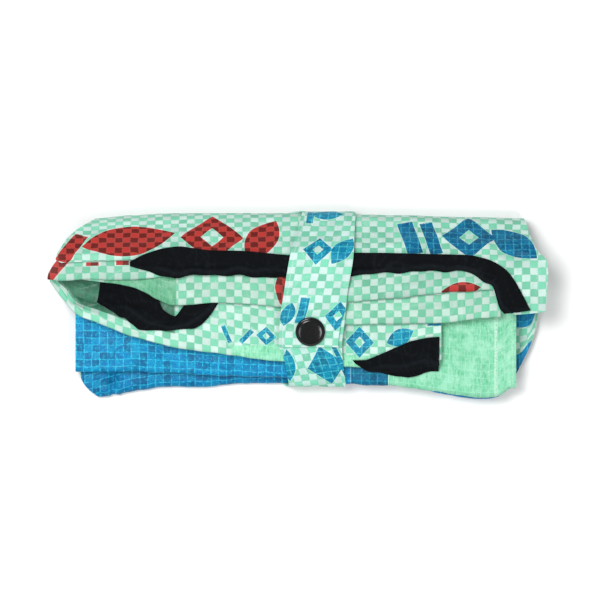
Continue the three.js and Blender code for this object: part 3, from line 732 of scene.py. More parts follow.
def hand_creases(zone, x, y):
    """The height of the main creases of a zone, at its places."""
    height = np.zeros_like(x)
    for name, start, end, width, high in CREASES:
        if name != zone:
            continue
        ax, ay = start
        bx, by = end
        long = math.hypot(bx - ax, by - ay)
        dx, dy = (bx - ax) / long, (by - ay) / long
        along = ((x - ax) * dx + (y - ay) * dy) / long
        across = (x - ax) * dy - (y - ay) * dx
        fade = smoothstep(-0.15, 0.2, along) * (1 - smoothstep(0.8, 1.15, along))
        height += high * fade * np.exp(-((across / width) ** 2))
    return height


def grid_normals(grid):
    """The normal of a grid of points, row direction by station direction."""
    down = np.gradient(grid, axis=0)
    across = np.gradient(grid, axis=1)
    normals = np.cross(down, across)
    return normals / np.maximum(np.linalg.norm(normals, axis=2, keepdims=True), 1e-9)


def closed_sheet(name, grid, thickness, cloth, crease, row_material, materials):
    """A closed thin mesh about a grid of points in millimetres, with its cloth's own coordinates."""
    rows, columns = grid.shape[:2]
    normals = grid_normals(grid)
    half = np.broadcast_to(np.asarray(thickness, float), (rows, columns))[..., None] / 2
    sides = [(grid + normals * half).reshape(-1, 3), (grid - normals * half).reshape(-1, 3)]
    points = (np.concatenate(sides) + SHIFT) * MM
    index = np.arange(rows * columns).reshape(rows, columns)
    a, b, c, d = index[:-1, :-1], index[1:, :-1], index[1:, 1:], index[:-1, 1:]
    other = rows * columns
    front = np.stack([a, b, c, d], axis=-1)
    back = np.stack([a, d, c, b], axis=-1) + other
    left, right = index[:, 0], index[:, -1]
    first, last = index[0], index[-1]
    rims = [
        np.stack([left[:-1], left[:-1] + other, left[1:] + other, left[1:]], axis=-1),
        np.stack([right[:-1], right[1:], right[1:] + other, right[:-1] + other], axis=-1),
        np.stack([first[:-1], first[1:], first[1:] + other, first[:-1] + other], axis=-1),
        np.stack([last[:-1], last[:-1] + other, last[1:] + other, last[1:]], axis=-1),
    ]
    by_row = np.asarray(row_material)[:-1]
    face_material = [np.repeat(by_row, columns - 1)] * 2 + [by_row] * 2
    face_material += [np.full(columns - 1, row_material[i]) for i in (0, -1)]
    faces = np.concatenate([front.reshape(-1, 4), back.reshape(-1, 4), *rims])
    mesh = bpy.data.meshes.new(name)
    mesh.vertices.add(len(points))
    mesh.vertices.foreach_set("co", points.astype(np.float32).ravel())
    mesh.loops.add(faces.size)
    mesh.loops.foreach_set("vertex_index", faces.astype(np.int32).ravel())
    mesh.polygons.add(len(faces))
    mesh.polygons.foreach_set("loop_start", np.arange(0, faces.size, 4, dtype=np.int32))
    for material in materials:
        mesh.materials.append(material)
    mesh.polygons.foreach_set("material_index", np.concatenate(face_material).astype(np.int32))
    mesh.update(calc_edges=True)
    both = np.concatenate([cloth.reshape(-1, 3)] * 2).astype(np.float32)
    mesh.attributes.new("cloth", "FLOAT_VECTOR", "POINT").data.foreach_set("vector", both.ravel())
    worn = np.concatenate([crease.ravel()] * 2).astype(np.float32)
    mesh.attributes.new("crease", "FLOAT", "POINT").data.foreach_set("value", worn)
    mesh.shade_smooth()
    mesh.set_sharp_from_angle(angle=math.radians(55))
    mesh.validate()
    piece = bpy.data.objects.new(name, mesh)
    bpy.context.scene.collection.objects.link(piece)
    return piece


def node(tree, kind, inputs=None, **settings):
    """Adds a shader node with its settings, and fills or links its inputs. A node that is given
    as an input is linked by its first output."""
    made = tree.nodes.new("ShaderNode" + kind)
    for name, value in settings.items():
        setattr(made, name, value)
    for key, value in (inputs or {}).items():
        if isinstance(value, bpy.types.Node):
            value = value.outputs[0]
        if isinstance(value, bpy.types.NodeSocket):
            tree.links.new(value, made.inputs[key])
        else:
            made.inputs[key].default_value = value
    return made


def empty_material(name):
    """A material with nothing in it but its output, and that output's node tree."""
    material = bpy.data.materials.new(name)
    material.use_nodes = True
    material.node_tree.nodes.clear()
    return material, material.node_tree


def shape_distance(tree, cloth, kind, middle, half, turn):
    """How far a place on the cloth is outside a printed shape, in millimetres."""
    lying = {"Location": (*middle, 0), "Rotation": (0, 0, math.radians(turn)), "Scale": (*half, 1)}
    place = node(tree, "Mapping", {"Vector": cloth, **lying}, vector_type="TEXTURE")
    flat = node(tree, "VectorMath", {0: place, 1: (1, 1, 0)}, operation="MULTIPLY")
    sides = node(tree, "VectorMath", {0: flat}, operation="ABSOLUTE")
    x, y = node(tree, "SeparateXYZ", {0: sides}).outputs[:2]
    size = min(half)
    if kind == "bar":
        span = node(tree, "Math", {0: x, 1: y}, operation="MAXIMUM")
    elif kind == "grain":
        span = node(tree, "Math", {0: x, 1: x, 2: y}, operation="MULTIPLY_ADD")
    else:
        span = node(tree, "Math", {0: x, 1: y}, operation="ADD")
    if kind == "lozenge ring":
        off = node(tree, "Math", {0: span, 1: RING_MIDDLE}, operation="SUBTRACT")
        away = node(tree, "Math", {0: off}, operation="ABSOLUTE")
        span = node(tree, "Math", {0: away, 1: 1 / RING_HALF}, operation="MULTIPLY")
        size *= RING_HALF
    return node(tree, "Math", {0: span, 1: size, 2: -size}, operation="MULTIPLY_ADD")


def nearest_of(tree, cloth, shapes):
    """How far a place is outside the nearest of some printed shapes, in millimetres."""
    found = [shape_distance(tree, cloth, *shape) for shape in shapes]
    best = found[0]
    for other in found[1:]:
        best = node(tree, "Math", {0: best, 1: other}, operation="MINIMUM")
    return best


def shade(colour, share):
    """A colour at a share of its light."""
    return [part * share for part in colour[:3]] + [1.0]


def layered(tree, masks, base, rows):
    """Lays colours over a base. Each row has its mask, the mask's low and high values, how much
    shows at each, and the colour."""
    for mask, low, high, at_low, at_high, colour in rows:
        amount = node(tree, "MapRange", {0: masks[mask], 1: low, 2: high, 3: at_low, 4: at_high})
        base = node(tree, "Mix", {0: amount, 6: base, 7: colour}, data_type="RGBA").outputs[2]
    return base


def built_up(tree, masks, name, main):
    """A main colour with its uneven parts, by its rows in the table."""
    bottom, rows = LAYERS_OF_COLOUR[name]
    over = [
        (*row[:-1], linear(row[-1]) if isinstance(row[-1], str) else shade(main, row[-1]))
        for row in rows
    ]
    return layered(tree, masks, shade(main, bottom), over)


def weave_masks(tree, look):
    """The cloth's own coordinates, and masks by name of its tapes, streaks, spots and wear."""
    cloth = node(tree, "Attribute", attribute_name="cloth").outputs["Vector"]
    masks = {"worn": node(tree, "Attribute", attribute_name="crease").outputs["Fac"]}
    tapes = (1 / look.warp_width / TO_MM, 1 / look.weft_width / TO_MM, 0)
    cells = node(tree, "VectorMath", {0: cloth, 1: tapes, 2: (0, 0, 0.5)}, operation="MULTIPLY_ADD")
    for scale, detail, amount in STRAYS:
        spots = {"Vector": cloth, "Scale": scale, "Detail": detail}
        drift = node(tree, "TexNoise", spots).outputs["Color"]
        drift = node(tree, "VectorMath", {0: drift, 1: (0.5, 0.5, 0.5)}, operation="SUBTRACT")
        moved = {0: drift, 1: (amount, amount, 0), 2: cells}
        cells = node(tree, "VectorMath", moved, operation="MULTIPLY_ADD")
    masks["weft up"] = node(tree, "TexChecker", {"Vector": cells, "Scale": 1.0}).outputs["Fac"]
    sides = node(tree, "SeparateXYZ", {0: cells}).outputs[:2]
    sides = [node(tree, "Math", {0: side, 1: 0.5}, operation="PINGPONG") for side in sides]
    to_edge = node(tree, "Math", {0: sides[0], 1: sides[1]}, operation="MINIMUM")
    for name, (start, end, at_start, at_end, blend) in BANDS.items():
        span = {0: to_edge, 1: start, 2: end, 3: at_start, 4: at_end}
        masks[name] = node(tree, "MapRange", span, interpolation_type=blend)
    for name, (stretch, scale, detail) in NOISES.items():
        place = node(tree, "VectorMath", {0: cloth, 1: (*stretch, 0)}, operation="MULTIPLY")
        spots = {"Vector": place, "Scale": scale, "Detail": detail, "Roughness": 0.6}
        masks[name] = node(tree, "TexNoise", spots)
    streaks = {0: masks["weft up"], 2: masks["warp streak"], 3: masks["weft streak"]}
    masks["streak"] = node(tree, "Mix", streaks)
    cell = node(tree, "VectorMath", {0: cells}, operation="FLOOR")
    masks["tone"] = node(tree, "TexWhiteNoise", {"Vector": cell}, noise_dimensions="2D")
    for name, (mask, noise, low, high, at_low, at_high) in BROKEN.items():
        share = node(tree, "MapRange", {0: masks[noise], 1: low, 2: high, 3: at_low, 4: at_high})
        masks[name] = node(tree, "Math", {0: masks[mask], 1: share}, operation="MULTIPLY")
    return cloth, masks


def woven_sack(name, zone, shapes, look):
    """Woven polypropylene tape with a coat of film: flat tapes over and under each other, in
    mint and white, with a low gloss, faint lengthwise streaks and flexed creases that turn pale.
    shapes gives each colour's printed shapes, in the cloth's own millimetres."""
    material, tree = empty_material(name)
    cloth, masks = weave_masks(tree, look)
    white = built_up(tree, masks, "white", look.white)
    over = [
        ("weft up", 0, 1, 0, 1, white),
        ("mottle", 0.42, 0.72, 0, 0.3, shade(look.mint, 0.86)),
        ("edge", 0, 1, 0, 0.25, shade(look.mint, 0.74)),
    ]
    colour = layered(tree, masks, built_up(tree, masks, "mint", look.mint), over)
    # The plain grounds; the inside ground and part of the deep one are painted shade.
    for field, (cover, dark, light, deep, pale) in GROUNDS.items():
        if field not in shapes:
            continue
        over = [
            ("warp streak", 0.3, 0.7, 0, 1, linear(light)),
            ("fibre", 0.45, 0.6, 0, 0.7, linear(deep)),
            ("mottle", 0.45, 0.62, 0, 0.6, linear(pale)),
            ("ground lines", 0, 1, 0, 1, linear(pale)),
        ]
        ground = layered(tree, masks, linear(dark), over)
        masks[field] = nearest_of(tree, cloth, shapes[field])
        colour = layered(tree, masks, colour, [(field, -0.4, 0.4, cover, 0, ground)])
    colour = layered(tree, masks, colour, [("rubbed", 0, 1, 0, 1, linear(RUBBED))])
    multiplied = {"data_type": "RGBA", "blend_type": "MULTIPLY"}
    # Multiplies the cloth and its blue by the zone's tint and painted shade.
    cloth_tint_and_shade, blue_tint_and_shade = ZONE_TINTS_AND_SHADE.get(zone, NO_TONE)
    colour = node(tree, "Mix", {0: 1.0, 6: colour, 7: linear(cloth_tint_and_shade)}, **multiplied).outputs[2]
    inks = {}
    if "red" in shapes:
        over = [
            ("weft up", 0, 1, 0, 1, built_up(tree, masks, "red over white", look.red)),
            ("lines", 0, 1, 0, 0.4, linear("#b85f47")),
        ]
        inks["red"] = layered(tree, masks, built_up(tree, masks, "red over mint", look.red), over)
    if "blue" in shapes:
        blue = built_up(tree, masks, "blue", look.blue)
        blue = node(tree, "Mix", {0: 1.0, 6: blue, 7: linear(blue_tint_and_shade)}, **multiplied).outputs[2]
        inks["blue"] = blue
        # Painted shade: the blue darkened where the strap and the right handle shade it.
        if "navy" in shapes:
            deeper = {0: 1.0, 6: blue, 7: linear(PAINTED_SHADE_BLUE_TINT)}
            inks["navy"] = node(tree, "Mix", deeper, **multiplied).outputs[2]
    if "pale" in shapes:
        dull, bright = (linear(tone) for tone in PALE_INK)
        inks["pale"] = layered(tree, masks, dull, [("fine", 0.35, 0.62, 0, 1, bright)])
    uneven = {0: masks["fine"], 1: 0, 2: 1, 3: -RAGGED_MM, 4: RAGGED_MM}
    ragged = node(tree, "MapRange", uneven)
    for ink, printed in inks.items():
        away = nearest_of(tree, cloth, shapes[ink])
        masks[ink] = node(tree, "Math", {0: away, 1: ragged}, operation="ADD")
        over = [
            (ink, HALO_MM * 0.4, HALO_MM, 0.3, 0, linear(HALO)),
            (ink, -0.12, 0.12, 1, 0, printed),
        ]
        colour = layered(tree, masks, colour, over)
    raised = {0: masks["streak"], 1: 0.4, 2: masks["crown"]}
    height = node(tree, "Math", raised, operation="MULTIPLY_ADD")
    normal = node(tree, "Bump", {"Strength": 0.28, "Distance": 0.0003, "Height": height})
    rough = node(tree, "MapRange", {0: masks["fine"], 1: 0.2, 2: 0.8, 3: 0.42, 4: 0.6})
    gloss = {"Roughness": rough, "IOR": 1.49, "Specular IOR Level": 0.17}
    skin = node(tree, "BsdfPrincipled", {"Base Color": colour, "Normal": normal, **gloss})
    node(tree, "OutputMaterial", {"Surface": skin})
    return material


def cotton_tape(name, look):
    """Black cotton tape in a tight plain weave: matt and a little dusty. It is paler where
    it is creased, and has a painted highlight along the ridge of its fold.
    """
    material, tree = empty_material(name)
    cloth = node(tree, "Attribute", attribute_name="cloth").outputs["Vector"]
    # Threads are about 0.4 mm apart, and are drawn at 0.9 mm so that they show.
    threads = (1 / 0.9, 1 / 0.9, 0)
    cells = node(tree, "VectorMath", {0: cloth, 1: threads, 2: (0, 0, 0.5)}, operation="MULTIPLY_ADD")
    over = node(tree, "TexChecker", {"Vector": cells, "Scale": 1.0}).outputs["Fac"]
    lint = node(tree, "TexNoise", {"Vector": cloth, "Scale": 0.6, "Detail": 6.0, "Roughness": 0.7})
    masks = {
        "lint": lint,
        "worn": node(tree, "Attribute", attribute_name="crease").outputs["Fac"],
    }
    dust_and_painted_highlight = [
        ("lint", 0.45, 0.8, 0, 0.5, shade(look.tape, 1.6)),
        # Paler along creases, as worn cotton is, and a painted highlight along the fold's ridge.
        ("worn", 0, 1, 0, 0.7, shade(look.tape, 3.2)),
    ]
    colour = layered(tree, masks, shade(look.tape, 0.75), dust_and_painted_highlight)
    height = node(tree, "Math", {0: lint, 1: 0.6, 2: over}, operation="MULTIPLY_ADD")
    normal = node(tree, "Bump", {"Strength": 0.5, "Distance": 0.00015, "Height": height})
    finish = {
        "Roughness": 0.8,
        "Specular IOR Level": 0.06,
        "Sheen Weight": 0.01,
        "Sheen Roughness": 0.5,
    }
    skin = node(tree, "BsdfPrincipled", {"Base Color": colour, "Normal": normal, **finish})
    node(tree, "OutputMaterial", {"Surface": skin})
    return material


def moulded_plastic(name):
    """Glossy black moulded plastic: a deep black with clear highlights and a few fine scuffs."""
    material, tree = empty_material(name)
    place = node(tree, "TexCoord").outputs["Object"]
    scuffs = node(tree, "TexNoise", {"Vector": place, "Scale": 900.0, "Detail": 4.0})
    rough = node(tree, "MapRange", {0: scuffs, 1: 0.3, 2: 0.8, 3: 0.1, 4: 0.22})
    finish = {"Roughness": rough, "IOR": 1.53, "Specular IOR Level": 0.32}
    skin = node(tree, "BsdfPrincipled", {"Base Color": linear("#08090b"), **finish})
    node(tree, "OutputMaterial", {"Surface": skin})
    return material


def matt_paper(name):
    """Pale matt paper: no gloss, and hardly any grain."""
    material, tree = empty_material(name)
    masks = {"grain": node(tree, "TexNoise", {"Scale": 8.0, "Detail": 3.0})}
    grain = [("grain", 0, 1, 0, 0.15, linear("#e6e6e6"))]
    colour = layered(tree, masks, linear("#ebebeb"), grain)
    skin = node(tree, "BsdfPrincipled", {"Base Color": colour, "Roughness": 0.9})
    node(tree, "OutputMaterial", {"Surface": skin})
    return material


def dress(piece, node_name):
    """Lets a piece stand for its solid, and ride with the bag."""
    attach(piece, BODY)
    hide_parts(node_name)


SHEETS = {}  # the fine sheets made so far, for what lies on them


def zone_shapes(zone, grid, zones, cloth, up):
    """The printed shapes of a zone by colour, their middles moved on to the cloth's upper side."""
    rows = [i for i, name in enumerate(zones) if name == zone]
    facing = grid_normals(grid)[rows, :, 2] * up
    found = {}
    for name, colour, kind, (x, y), half, turn in PRINTS:
        if name != zone:
            continue
        away = (grid[rows, :, 0] - x) ** 2 + (grid[rows, :, 1] - y) ** 2
        # Cloth that faces down counts as if it were 100 mm further off.
        away = away + np.where(facing > 0, 0, 100**2)
        i, j = np.unravel_index(np.argmin(away), away.shape)
        u, v = cloth[rows][i, j, :2]
        found.setdefault(colour, []).append((kind, (float(u), float(v)), half, turn))
    for name, colour, middle, half, turn in FIELDS:
        if name == zone:
            found.setdefault(colour, []).append(("bar", middle, half, turn))
    return found


def mesh_steps(name, section, coarse, fine_step):
    """The mesh's steps between a section's lines: fine where the cloth shows."""
    steps = []
    for i, key in enumerate(section[:-1]):
        middle = (coarse[i] + coarse[i + 1]) / 2
        behind = np.median(middle[:, 1]) > HIDDEN_BEHIND_Y and key.zone != "a"
        hidden = key.zone == "under" or behind or i < BURIED_LINES.get(name, 0)
        steps.append(HIDDEN_STEP if hidden else fine_step)
    return steps


def zone_relief(zone, u, v, x, y, facet_size, seed):
    """How far a zone's cloth stands out from its section, and where it is creased."""
    height, crease = crumple(u, v, facet_size, seed)
    waves = sum(ripples(u, v, length, seed + step) * high for length, high, step in WAVES)
    if zone == "d":
        hem = 1 - smoothstep(*HEM["x"], u)
        for line in HEM["lines"]:
            waves = waves - HEM["depth"] * hem * np.exp(-(((v - line) / HEM["half"]) ** 2))
        waves = waves + HEM["lift"] * hem * (1 - smoothstep(*HEM["edge"], np.abs(v)))
    relief = (height * FACET_HEIGHT + waves) * ZONE_RELIEF[zone]
    relief += CREASE_GAIN * hand_creases(zone, x, y)
    if zone == "a":
        relief *= 1 - CALM_FAR_SLOPE["share"] * smoothstep(*CALM_FAR_SLOPE["y"], y)
    return relief, crease


def make_panel(name, section, slot, stations, seed, flat, look):
    """Builds a panel's fine sheet on its section, with creases, prints and its cloth's coordinates."""
    coarse = settle(section, stations)
    grid, index = refine(coarse, mesh_steps(name, section, coarse, look.mesh_step * TO_MM))
    lengths = np.linalg.norm(np.diff(grid, axis=0), axis=2)
    arc = np.concatenate([np.zeros((1, stations)), np.cumsum(lengths, axis=0)])
    row_zone = [section[min(len(section) - 1, int(i + 0.5))].zone for i in index]
    cloth = np.zeros(grid.shape)
    cloth[..., 0] = grid[..., 0]
    relief, worn = np.zeros(arc.shape), np.zeros(arc.shape)
    order = list(dict.fromkeys(row_zone))
    for number, zone in enumerate(order):
        rows = [i for i, z in enumerate(row_zone) if z == zone]
        origin = [k for k, key in enumerate(section) if key.origin and key.zone == zone]
        start = int(np.argmin(np.abs(index - origin[0]))) if origin else rows[0]
        cloth[rows, :, 1] = arc[rows] - arc[start]
        if zone == "under":
            continue
        places = cloth[rows, :, 0], cloth[rows, :, 1], grid[rows, :, 0], grid[rows, :, 1]
        facet_size = look.crumple_size * TO_MM
        relief[rows], worn[rows] = zone_relief(zone, *places, facet_size, seed + number)
    relief *= smoothstep(*PRESSED_FLAT, grid[..., 2])
    grid = grid - grid_normals(grid) * relief[..., None]
    thickness = look.cloth_thickness * TO_MM
    grid[..., 2] = np.maximum(grid[..., 2], thickness / 2 + FLOOR_GAP)
    materials = []
    for zone in order:
        shapes = zone_shapes(zone, grid, row_zone, cloth, -1)
        materials.append(woven_sack(f"woven_sack_{zone}", zone, shapes, look))
    row_material = [order.index(zone) for zone in row_zone]
    piece = closed_sheet(name + "_cloth", grid, thickness, cloth, worn, row_material, materials)
    SHEETS[name] = grid
    dress(piece, name)


def surface_tree(names):
    """A search tree of the fine sheets named."""
    points, faces = [], []
    for name in names:
        grid = SHEETS[name]
        rows, columns = grid.shape[:2]
        start = len(points)
        points += [Vector(p) for p in grid.reshape(-1, 3)]
        index = np.arange(rows * columns).reshape(rows, columns) + start
        quads = np.stack([index[:-1, :-1], index[1:, :-1], index[1:, 1:], index[:-1, 1:]], axis=-1)
        faces += quads.reshape(-1, 4).tolist()
    return BVHTree.FromPolygons(points, faces)


def ramp(rows, count):
    """A line through rows of points, evenly spaced, with its corners a little rounded."""
    rows = np.array(rows, float)
    middle = (rows[:, :2] + rows[:, 2:]) / 2
    keys = np.concatenate([[0], np.cumsum(np.linalg.norm(np.diff(middle, axis=0), axis=1))])
    at = np.linspace(0, keys[-1], count)
    line = np.stack([np.interp(at, keys, column) for column in rows.T], axis=1)
    for _ in range(max(1, count // 30)):
        line[1:-1] = (line[:-2] + 2 * line[1:-1] + line[2:]) / 4
    return line


def lay_on(tree, grid, ceiling):
    """Sets a grid's heights to the highest cloth under each point and just round it."""
    for i, j in np.ndindex(grid.shape[:2]):
        x, y = grid[i, j, :2]
        best = 0.0
        for dx in (-TAPE_REACH, 0, TAPE_REACH):
            for dy in (-TAPE_REACH, -TAPE_REACH / 2, 0, TAPE_REACH / 2, TAPE_REACH):
                start = Vector((x + dx, y + dy, ceiling(x + dx, y + dy)))
                hit = tree.ray_cast(start, Vector((0, 0, -1)))[0]
                if hit is not None:
                    best = max(best, hit.z)
        grid[i, j, 2] = best


def lengthwise(off, form, long):
    """A trough or ridge along a tape, by how far across it a place is from its line."""
    across = np.exp(-(((off - form["at"]) / form["half"]) ** 2))
    return across * smoothstep(5, 25, long)[:, None]


def make_handle(name, steps, seed, look):
    """A soft black tape that lies over what is under it, with a lengthwise fold."""
    edges = ramp(HANDLES[name], steps)
    lengths = np.linalg.norm(np.diff(edges[:, :2], axis=0), axis=1)
    travelled = np.concatenate([[0], np.cumsum(lengths)])
    wander = sum(high * np.sin(travelled / long + times * seed) for high, long, times in TAPE_EDGE)
    edges[:, 3] += wander * smoothstep(4, 20, travelled)
    share = np.linspace(0, 1, TAPE_POINTS)
    grid = np.zeros((steps, TAPE_POINTS, 3))
    far, near = edges[:, None, :2], edges[:, None, 2:]
    grid[..., :2] = far * (1 - share)[None, :, None] + near * share[None, :, None]

    def ceiling(x, y):
        if name == "handle_top":
            return ABOVE_ALL
        return float(layer_height("c_bottom", x, y)) - MOUTH_CEILING

    lay_on(surface_tree(("back_panel", "base_panel", "front_panel")), grid, ceiling)
    clear = grid[..., 2].copy()
    for _ in range(TAPE_ROUNDS):
        padded = np.pad(grid[..., 2], 1, mode="edge")
        around = padded[:-2, 1:-1] + padded[2:, 1:-1] + padded[1:-1, :-2] + padded[1:-1, 2:]
        grid[..., 2] = np.maximum(around / 4, clear - TAPE_SINK)
    thick = look.handle_thickness * TO_MM
    body = thick * (1 - TAPE_THINNING * np.abs(2 * share - 1) ** 4)
    lengths = np.linalg.norm(np.diff(grid[:, TAPE_POINTS // 2, :2], axis=0), axis=1)
    long = np.concatenate([[0], np.cumsum(lengths)])
    width = np.linalg.norm(edges[:, :2] - edges[:, 2:], axis=1)
    u, v = long[:, None] + 0 * share[None, :], width[:, None] * share[None, :]
    height, crease = crumple(u, v, TAPE_FACETS["size"], seed)
    # A soft fold wanders along the lower third, and the edge beyond it curls up.
    line = 0.64 + 0.1 * np.sin(long / 17 + seed) + 0.04 * np.sin(long / 4.3)
    off = (share[None, :] - line[:, None]) * width[:, None]
    trough, ridge = lengthwise(off, TAPE_TROUGH, long), lengthwise(off, TAPE_RIDGE, long)
    stand = look.cloth_thickness * TO_MM / 2 + TAPE_GAP + thick / 2
    waves = TAPE_WAVES["height"] * ripples(u, v, TAPE_WAVES["length"], seed)
    grid[..., 2] += stand + height * TAPE_FACETS["height"]
    grid[..., 2] += TAPE_RIDGE["height"] * ridge + TAPE_TROUGH["height"] * trough + waves
    grid[..., 2] += hand_creases(name, grid[..., 0], grid[..., 1])
    cloth = np.stack([u, v, np.zeros_like(u)], axis=-1)
    # The crease mask: wear along the creases, and a painted highlight along the fold's ridge.
    worn = np.clip(crease * 0.6 + ridge * 0.6, 0, 1)
    material = cotton_tape("cotton_tape_" + name, look)
    body = np.broadcast_to(body, grid.shape[:2])
    piece = closed_sheet(name + "_tape", grid, body, cloth, worn, [0] * steps, [material])
    SHEETS[name] = grid
    dress(piece, name)


def convex_outline(points):
    """The convex outline of points, anticlockwise."""
    points = points[np.lexsort((points[:, 1], points[:, 0]))]

    def half(list_of_points):
        chain = []
        for p in list_of_points:
            while len(chain) > 1:
                o, q = chain[-2], chain[-1]
                if (q[0] - o[0]) * (p[1] - o[1]) - (q[1] - o[1]) * (p[0] - o[0]) > 0:
                    break
                chain.pop()
            chain.append(p)
        return chain[:-1]

    return np.array(half(points) + half(points[::-1]))


def strap_line(look):
    """The strap's path round the bag: a function from a distance to its y and z, where it starts,
    the length of one lap, and its whole length."""
    margin = look.cloth_thickness * TO_MM + STRAP_MARGIN
    around = []
    for name in ("back_panel", "base_panel", "front_panel", "handle_top"):
        grid = SHEETS[name].reshape(-1, 3)
        inset = np.where(grid[:, 2] < STRAP_FLOOR, STRAP_FLOOR_INSET, 0)
        left, right = STRAP_BAND
        near = grid[(grid[:, 0] > left + inset) & (grid[:, 0] < right - inset)]
        extra = look.handle_thickness * TO_MM / 2 if name == "handle_top" else 0
        # Twelve ways round each point keep the strap's distance from it.
        for turn in np.arange(0, 2 * np.pi, np.pi / 6):
            around.append(near[:, 1:] + (margin + extra) * np.array([np.cos(turn), np.sin(turn)]))
    outline = convex_outline(np.concatenate(around))
    closed = np.concatenate([outline, outline[:1]])
    lengths = np.concatenate([[0], np.cumsum(np.linalg.norm(np.diff(closed, axis=0), axis=1))])
    lap = lengths[-1]

    def point(distance):
        d = np.mod(distance, lap)
        return np.stack([np.interp(d, lengths, closed[:, k]) for k in (0, 1)], axis=-1)

    # The strap's two ends are looked for on top of the bag.
    places = np.linspace(0, lap, STRAP_SAMPLES)
    found = point(places)
    not_on_top = np.where(found[:, 1] > PILE * 0.7, 0, 1e3)
    start, end = (
        places[np.argmin(np.abs(found[:, 0] - y) + not_on_top)]
        for y in (STRAP_START_Y, STRAP_END_Y)
    )
    return point, start, lap, lap + end - start


def bell(distance, middle, half):
    """A soft bump that is 1 at its middle."""
    return np.exp(-(((distance - middle) / half) ** 2))


def make_strap(look):
    """The strap of sack cloth that goes once round the bag, its free end over its inner end."""
    point, start, lap, total = strap_line(look)
    travelled = np.linspace(0, total, int(total / STRAP_STEP))
    share = np.linspace(0, 1, STRAP_POINTS)
    offsets = np.linspace(-STRAP_ROUNDING, STRAP_ROUNDING, 7)
    middle = np.mean([point(start + travelled + off) for off in offsets], axis=0)
    ahead = point(start + travelled + 1.5) - point(start + travelled - 1.5)
    out = np.stack([ahead[:, 1], -ahead[:, 0]], axis=1)
    out /= np.linalg.norm(out, axis=1, keepdims=True)
    thickness = look.cloth_thickness * TO_MM
    rises, risen = (lap - before for before in STRAP_LAP)
    lift = (thickness + STRAP_LAP_GAP) * smoothstep(rises, risen, travelled)
    place = middle + out * lift[:, None]
    left, right = STRAP_EDGE["left"](place[:, 0]), STRAP_EDGE["right"](place[:, 0])
    below = 1 - smoothstep(1, 12, middle[:, 1])
    upper = travelled > lap - STRAP_FREE
    # The free end's right side lies a little inside the band under it.
    right = right - STRAP_TUCK * smoothstep(-2, -14, place[:, 0]) * upper
    above = left[:, None] + (right - left)[:, None] * share
    beneath = STRAP_X + STRAP_HALF * (2 * share[None, :] - 1)
    x = above + (beneath - above) * below[:, None]
    grid = np.stack([x, place[:, :1] + 0 * x, place[:, 1:] + 0 * x], axis=-1)
    u = x - x.mean(axis=1, keepdims=True)
    v = -np.broadcast_to(travelled[:, None], x.shape) + lap
    inner_end = travelled < lap * STRAP_END_SHARE
    turned = math.radians(STRAP_END_TURN) * inner_end[:, None]
    turned_u = u * np.cos(turned) - v * np.sin(turned)
    turned_v = u * np.sin(turned) + v * np.cos(turned)
    cloth = np.stack([turned_u, turned_v, 0 * u], axis=-1)
    height, crease = crumple(u, v, STRAP_FACETS["size"], STRAP_FACETS["seed"])
    width = x[:, -1:] - x[:, :1]
    to_edge = np.minimum(share, 1 - share)[None, :] * width
    hem = sum(high * bell(to_edge, at, half) for high, at, half in STRAP_HEM)
    # A sewn line runs a little inside the strap's left edge.
    sewn = bell(share[None, :] * width, STRAP_SEWN["at"], STRAP_SEWN["half"])
    crease = np.maximum(crease, STRAP_SEWN["worn"] * sewn)
    hem = hem - STRAP_SEWN["depth"] * sewn
    relief = (height * STRAP_FACETS["height"] + hem) * smoothstep(2.0, 6.0, grid[..., 2])
    hem_end = smoothstep(total - 3.5, total - 2.2, travelled)[:, None] * 0.2
    grid = grid + grid_normals(grid) * (relief + hem_end)[..., None]
    order = ("strap end", "strap")
    zones = [order[0] if inner else order[1] for inner in inner_end]
    materials = []
    for zone in order:
        shapes = zone_shapes(zone, grid, zones, cloth, 1)
        materials.append(woven_sack("woven_sack_" + zone.replace(" ", "_"), zone, shapes, look))
    row_material = [order.index(zone) for zone in zones]
    name = "closure_strap"
    piece = closed_sheet(name + "_cloth", grid, thickness, cloth, crease, row_material, materials)
    SHEETS[name] = grid
    dress(piece, name)


def make_snap(look):
    """The snap's cap: a domed disc with a rolled rim, turned about its axis."""
    outer = SHEETS["closure_strap"][-FREE_END_ROWS:]
    middle = outer[:, outer.shape[1] // 2]
    i = int(np.argmin(np.abs(middle[:, 1] - SNAP_AT[1])))
    here = middle[i - SNAP_SEAT_ROWS]
    there = middle[min(i + SNAP_SEAT_ROWS, len(middle) - 1)]
    tilt = math.atan2(here[2] - there[2], here[1] - there[1])
    points, faces = [], []
    for radius, high in SNAP_PROFILE:
        for k in range(SNAP_SIDES):
            angle = 2 * math.pi * k / SNAP_SIDES
            out = SNAP_RADIUS * radius
            points.append((out * math.cos(angle) * MM, out * math.sin(angle) * MM, high * MM))
    last = (len(SNAP_PROFILE) - 1) * SNAP_SIDES
    for ring in range(0, last, SNAP_SIDES):
        for k in range(SNAP_SIDES):
            a, b = ring + k, ring + (k + 1) % SNAP_SIDES
            faces.append((a, b, b + SNAP_SIDES, a + SNAP_SIDES))
    faces.append(tuple(reversed(range(SNAP_SIDES))))
    faces.append(tuple(range(last, last + SNAP_SIDES)))
    mesh = bpy.data.meshes.new("snap_cap_dome")
    mesh.from_pydata(points, [], faces)
    mesh.materials.append(moulded_plastic("moulded_plastic_snap"))
    mesh.shade_smooth()
    piece = bpy.data.objects.new("snap_cap_dome", mesh)
    bpy.context.scene.collection.objects.link(piece)
    smooth = piece.modifiers.new("smooth", "SUBSURF")
    smooth.levels = smooth.render_levels = 1
    stand = look.cloth_thickness * TO_MM / 2 + SNAP_GAP
    y = SNAP_AT[1] - math.sin(tilt) * stand
    z = middle[i][2] + math.cos(tilt) * stand
    piece.location = (Vector((SNAP_AT[0], y, z)) + Vector(SHIFT)) * MM
    piece.rotation_euler = (tilt, 0, 0)
    dress(piece, "snap_cap")


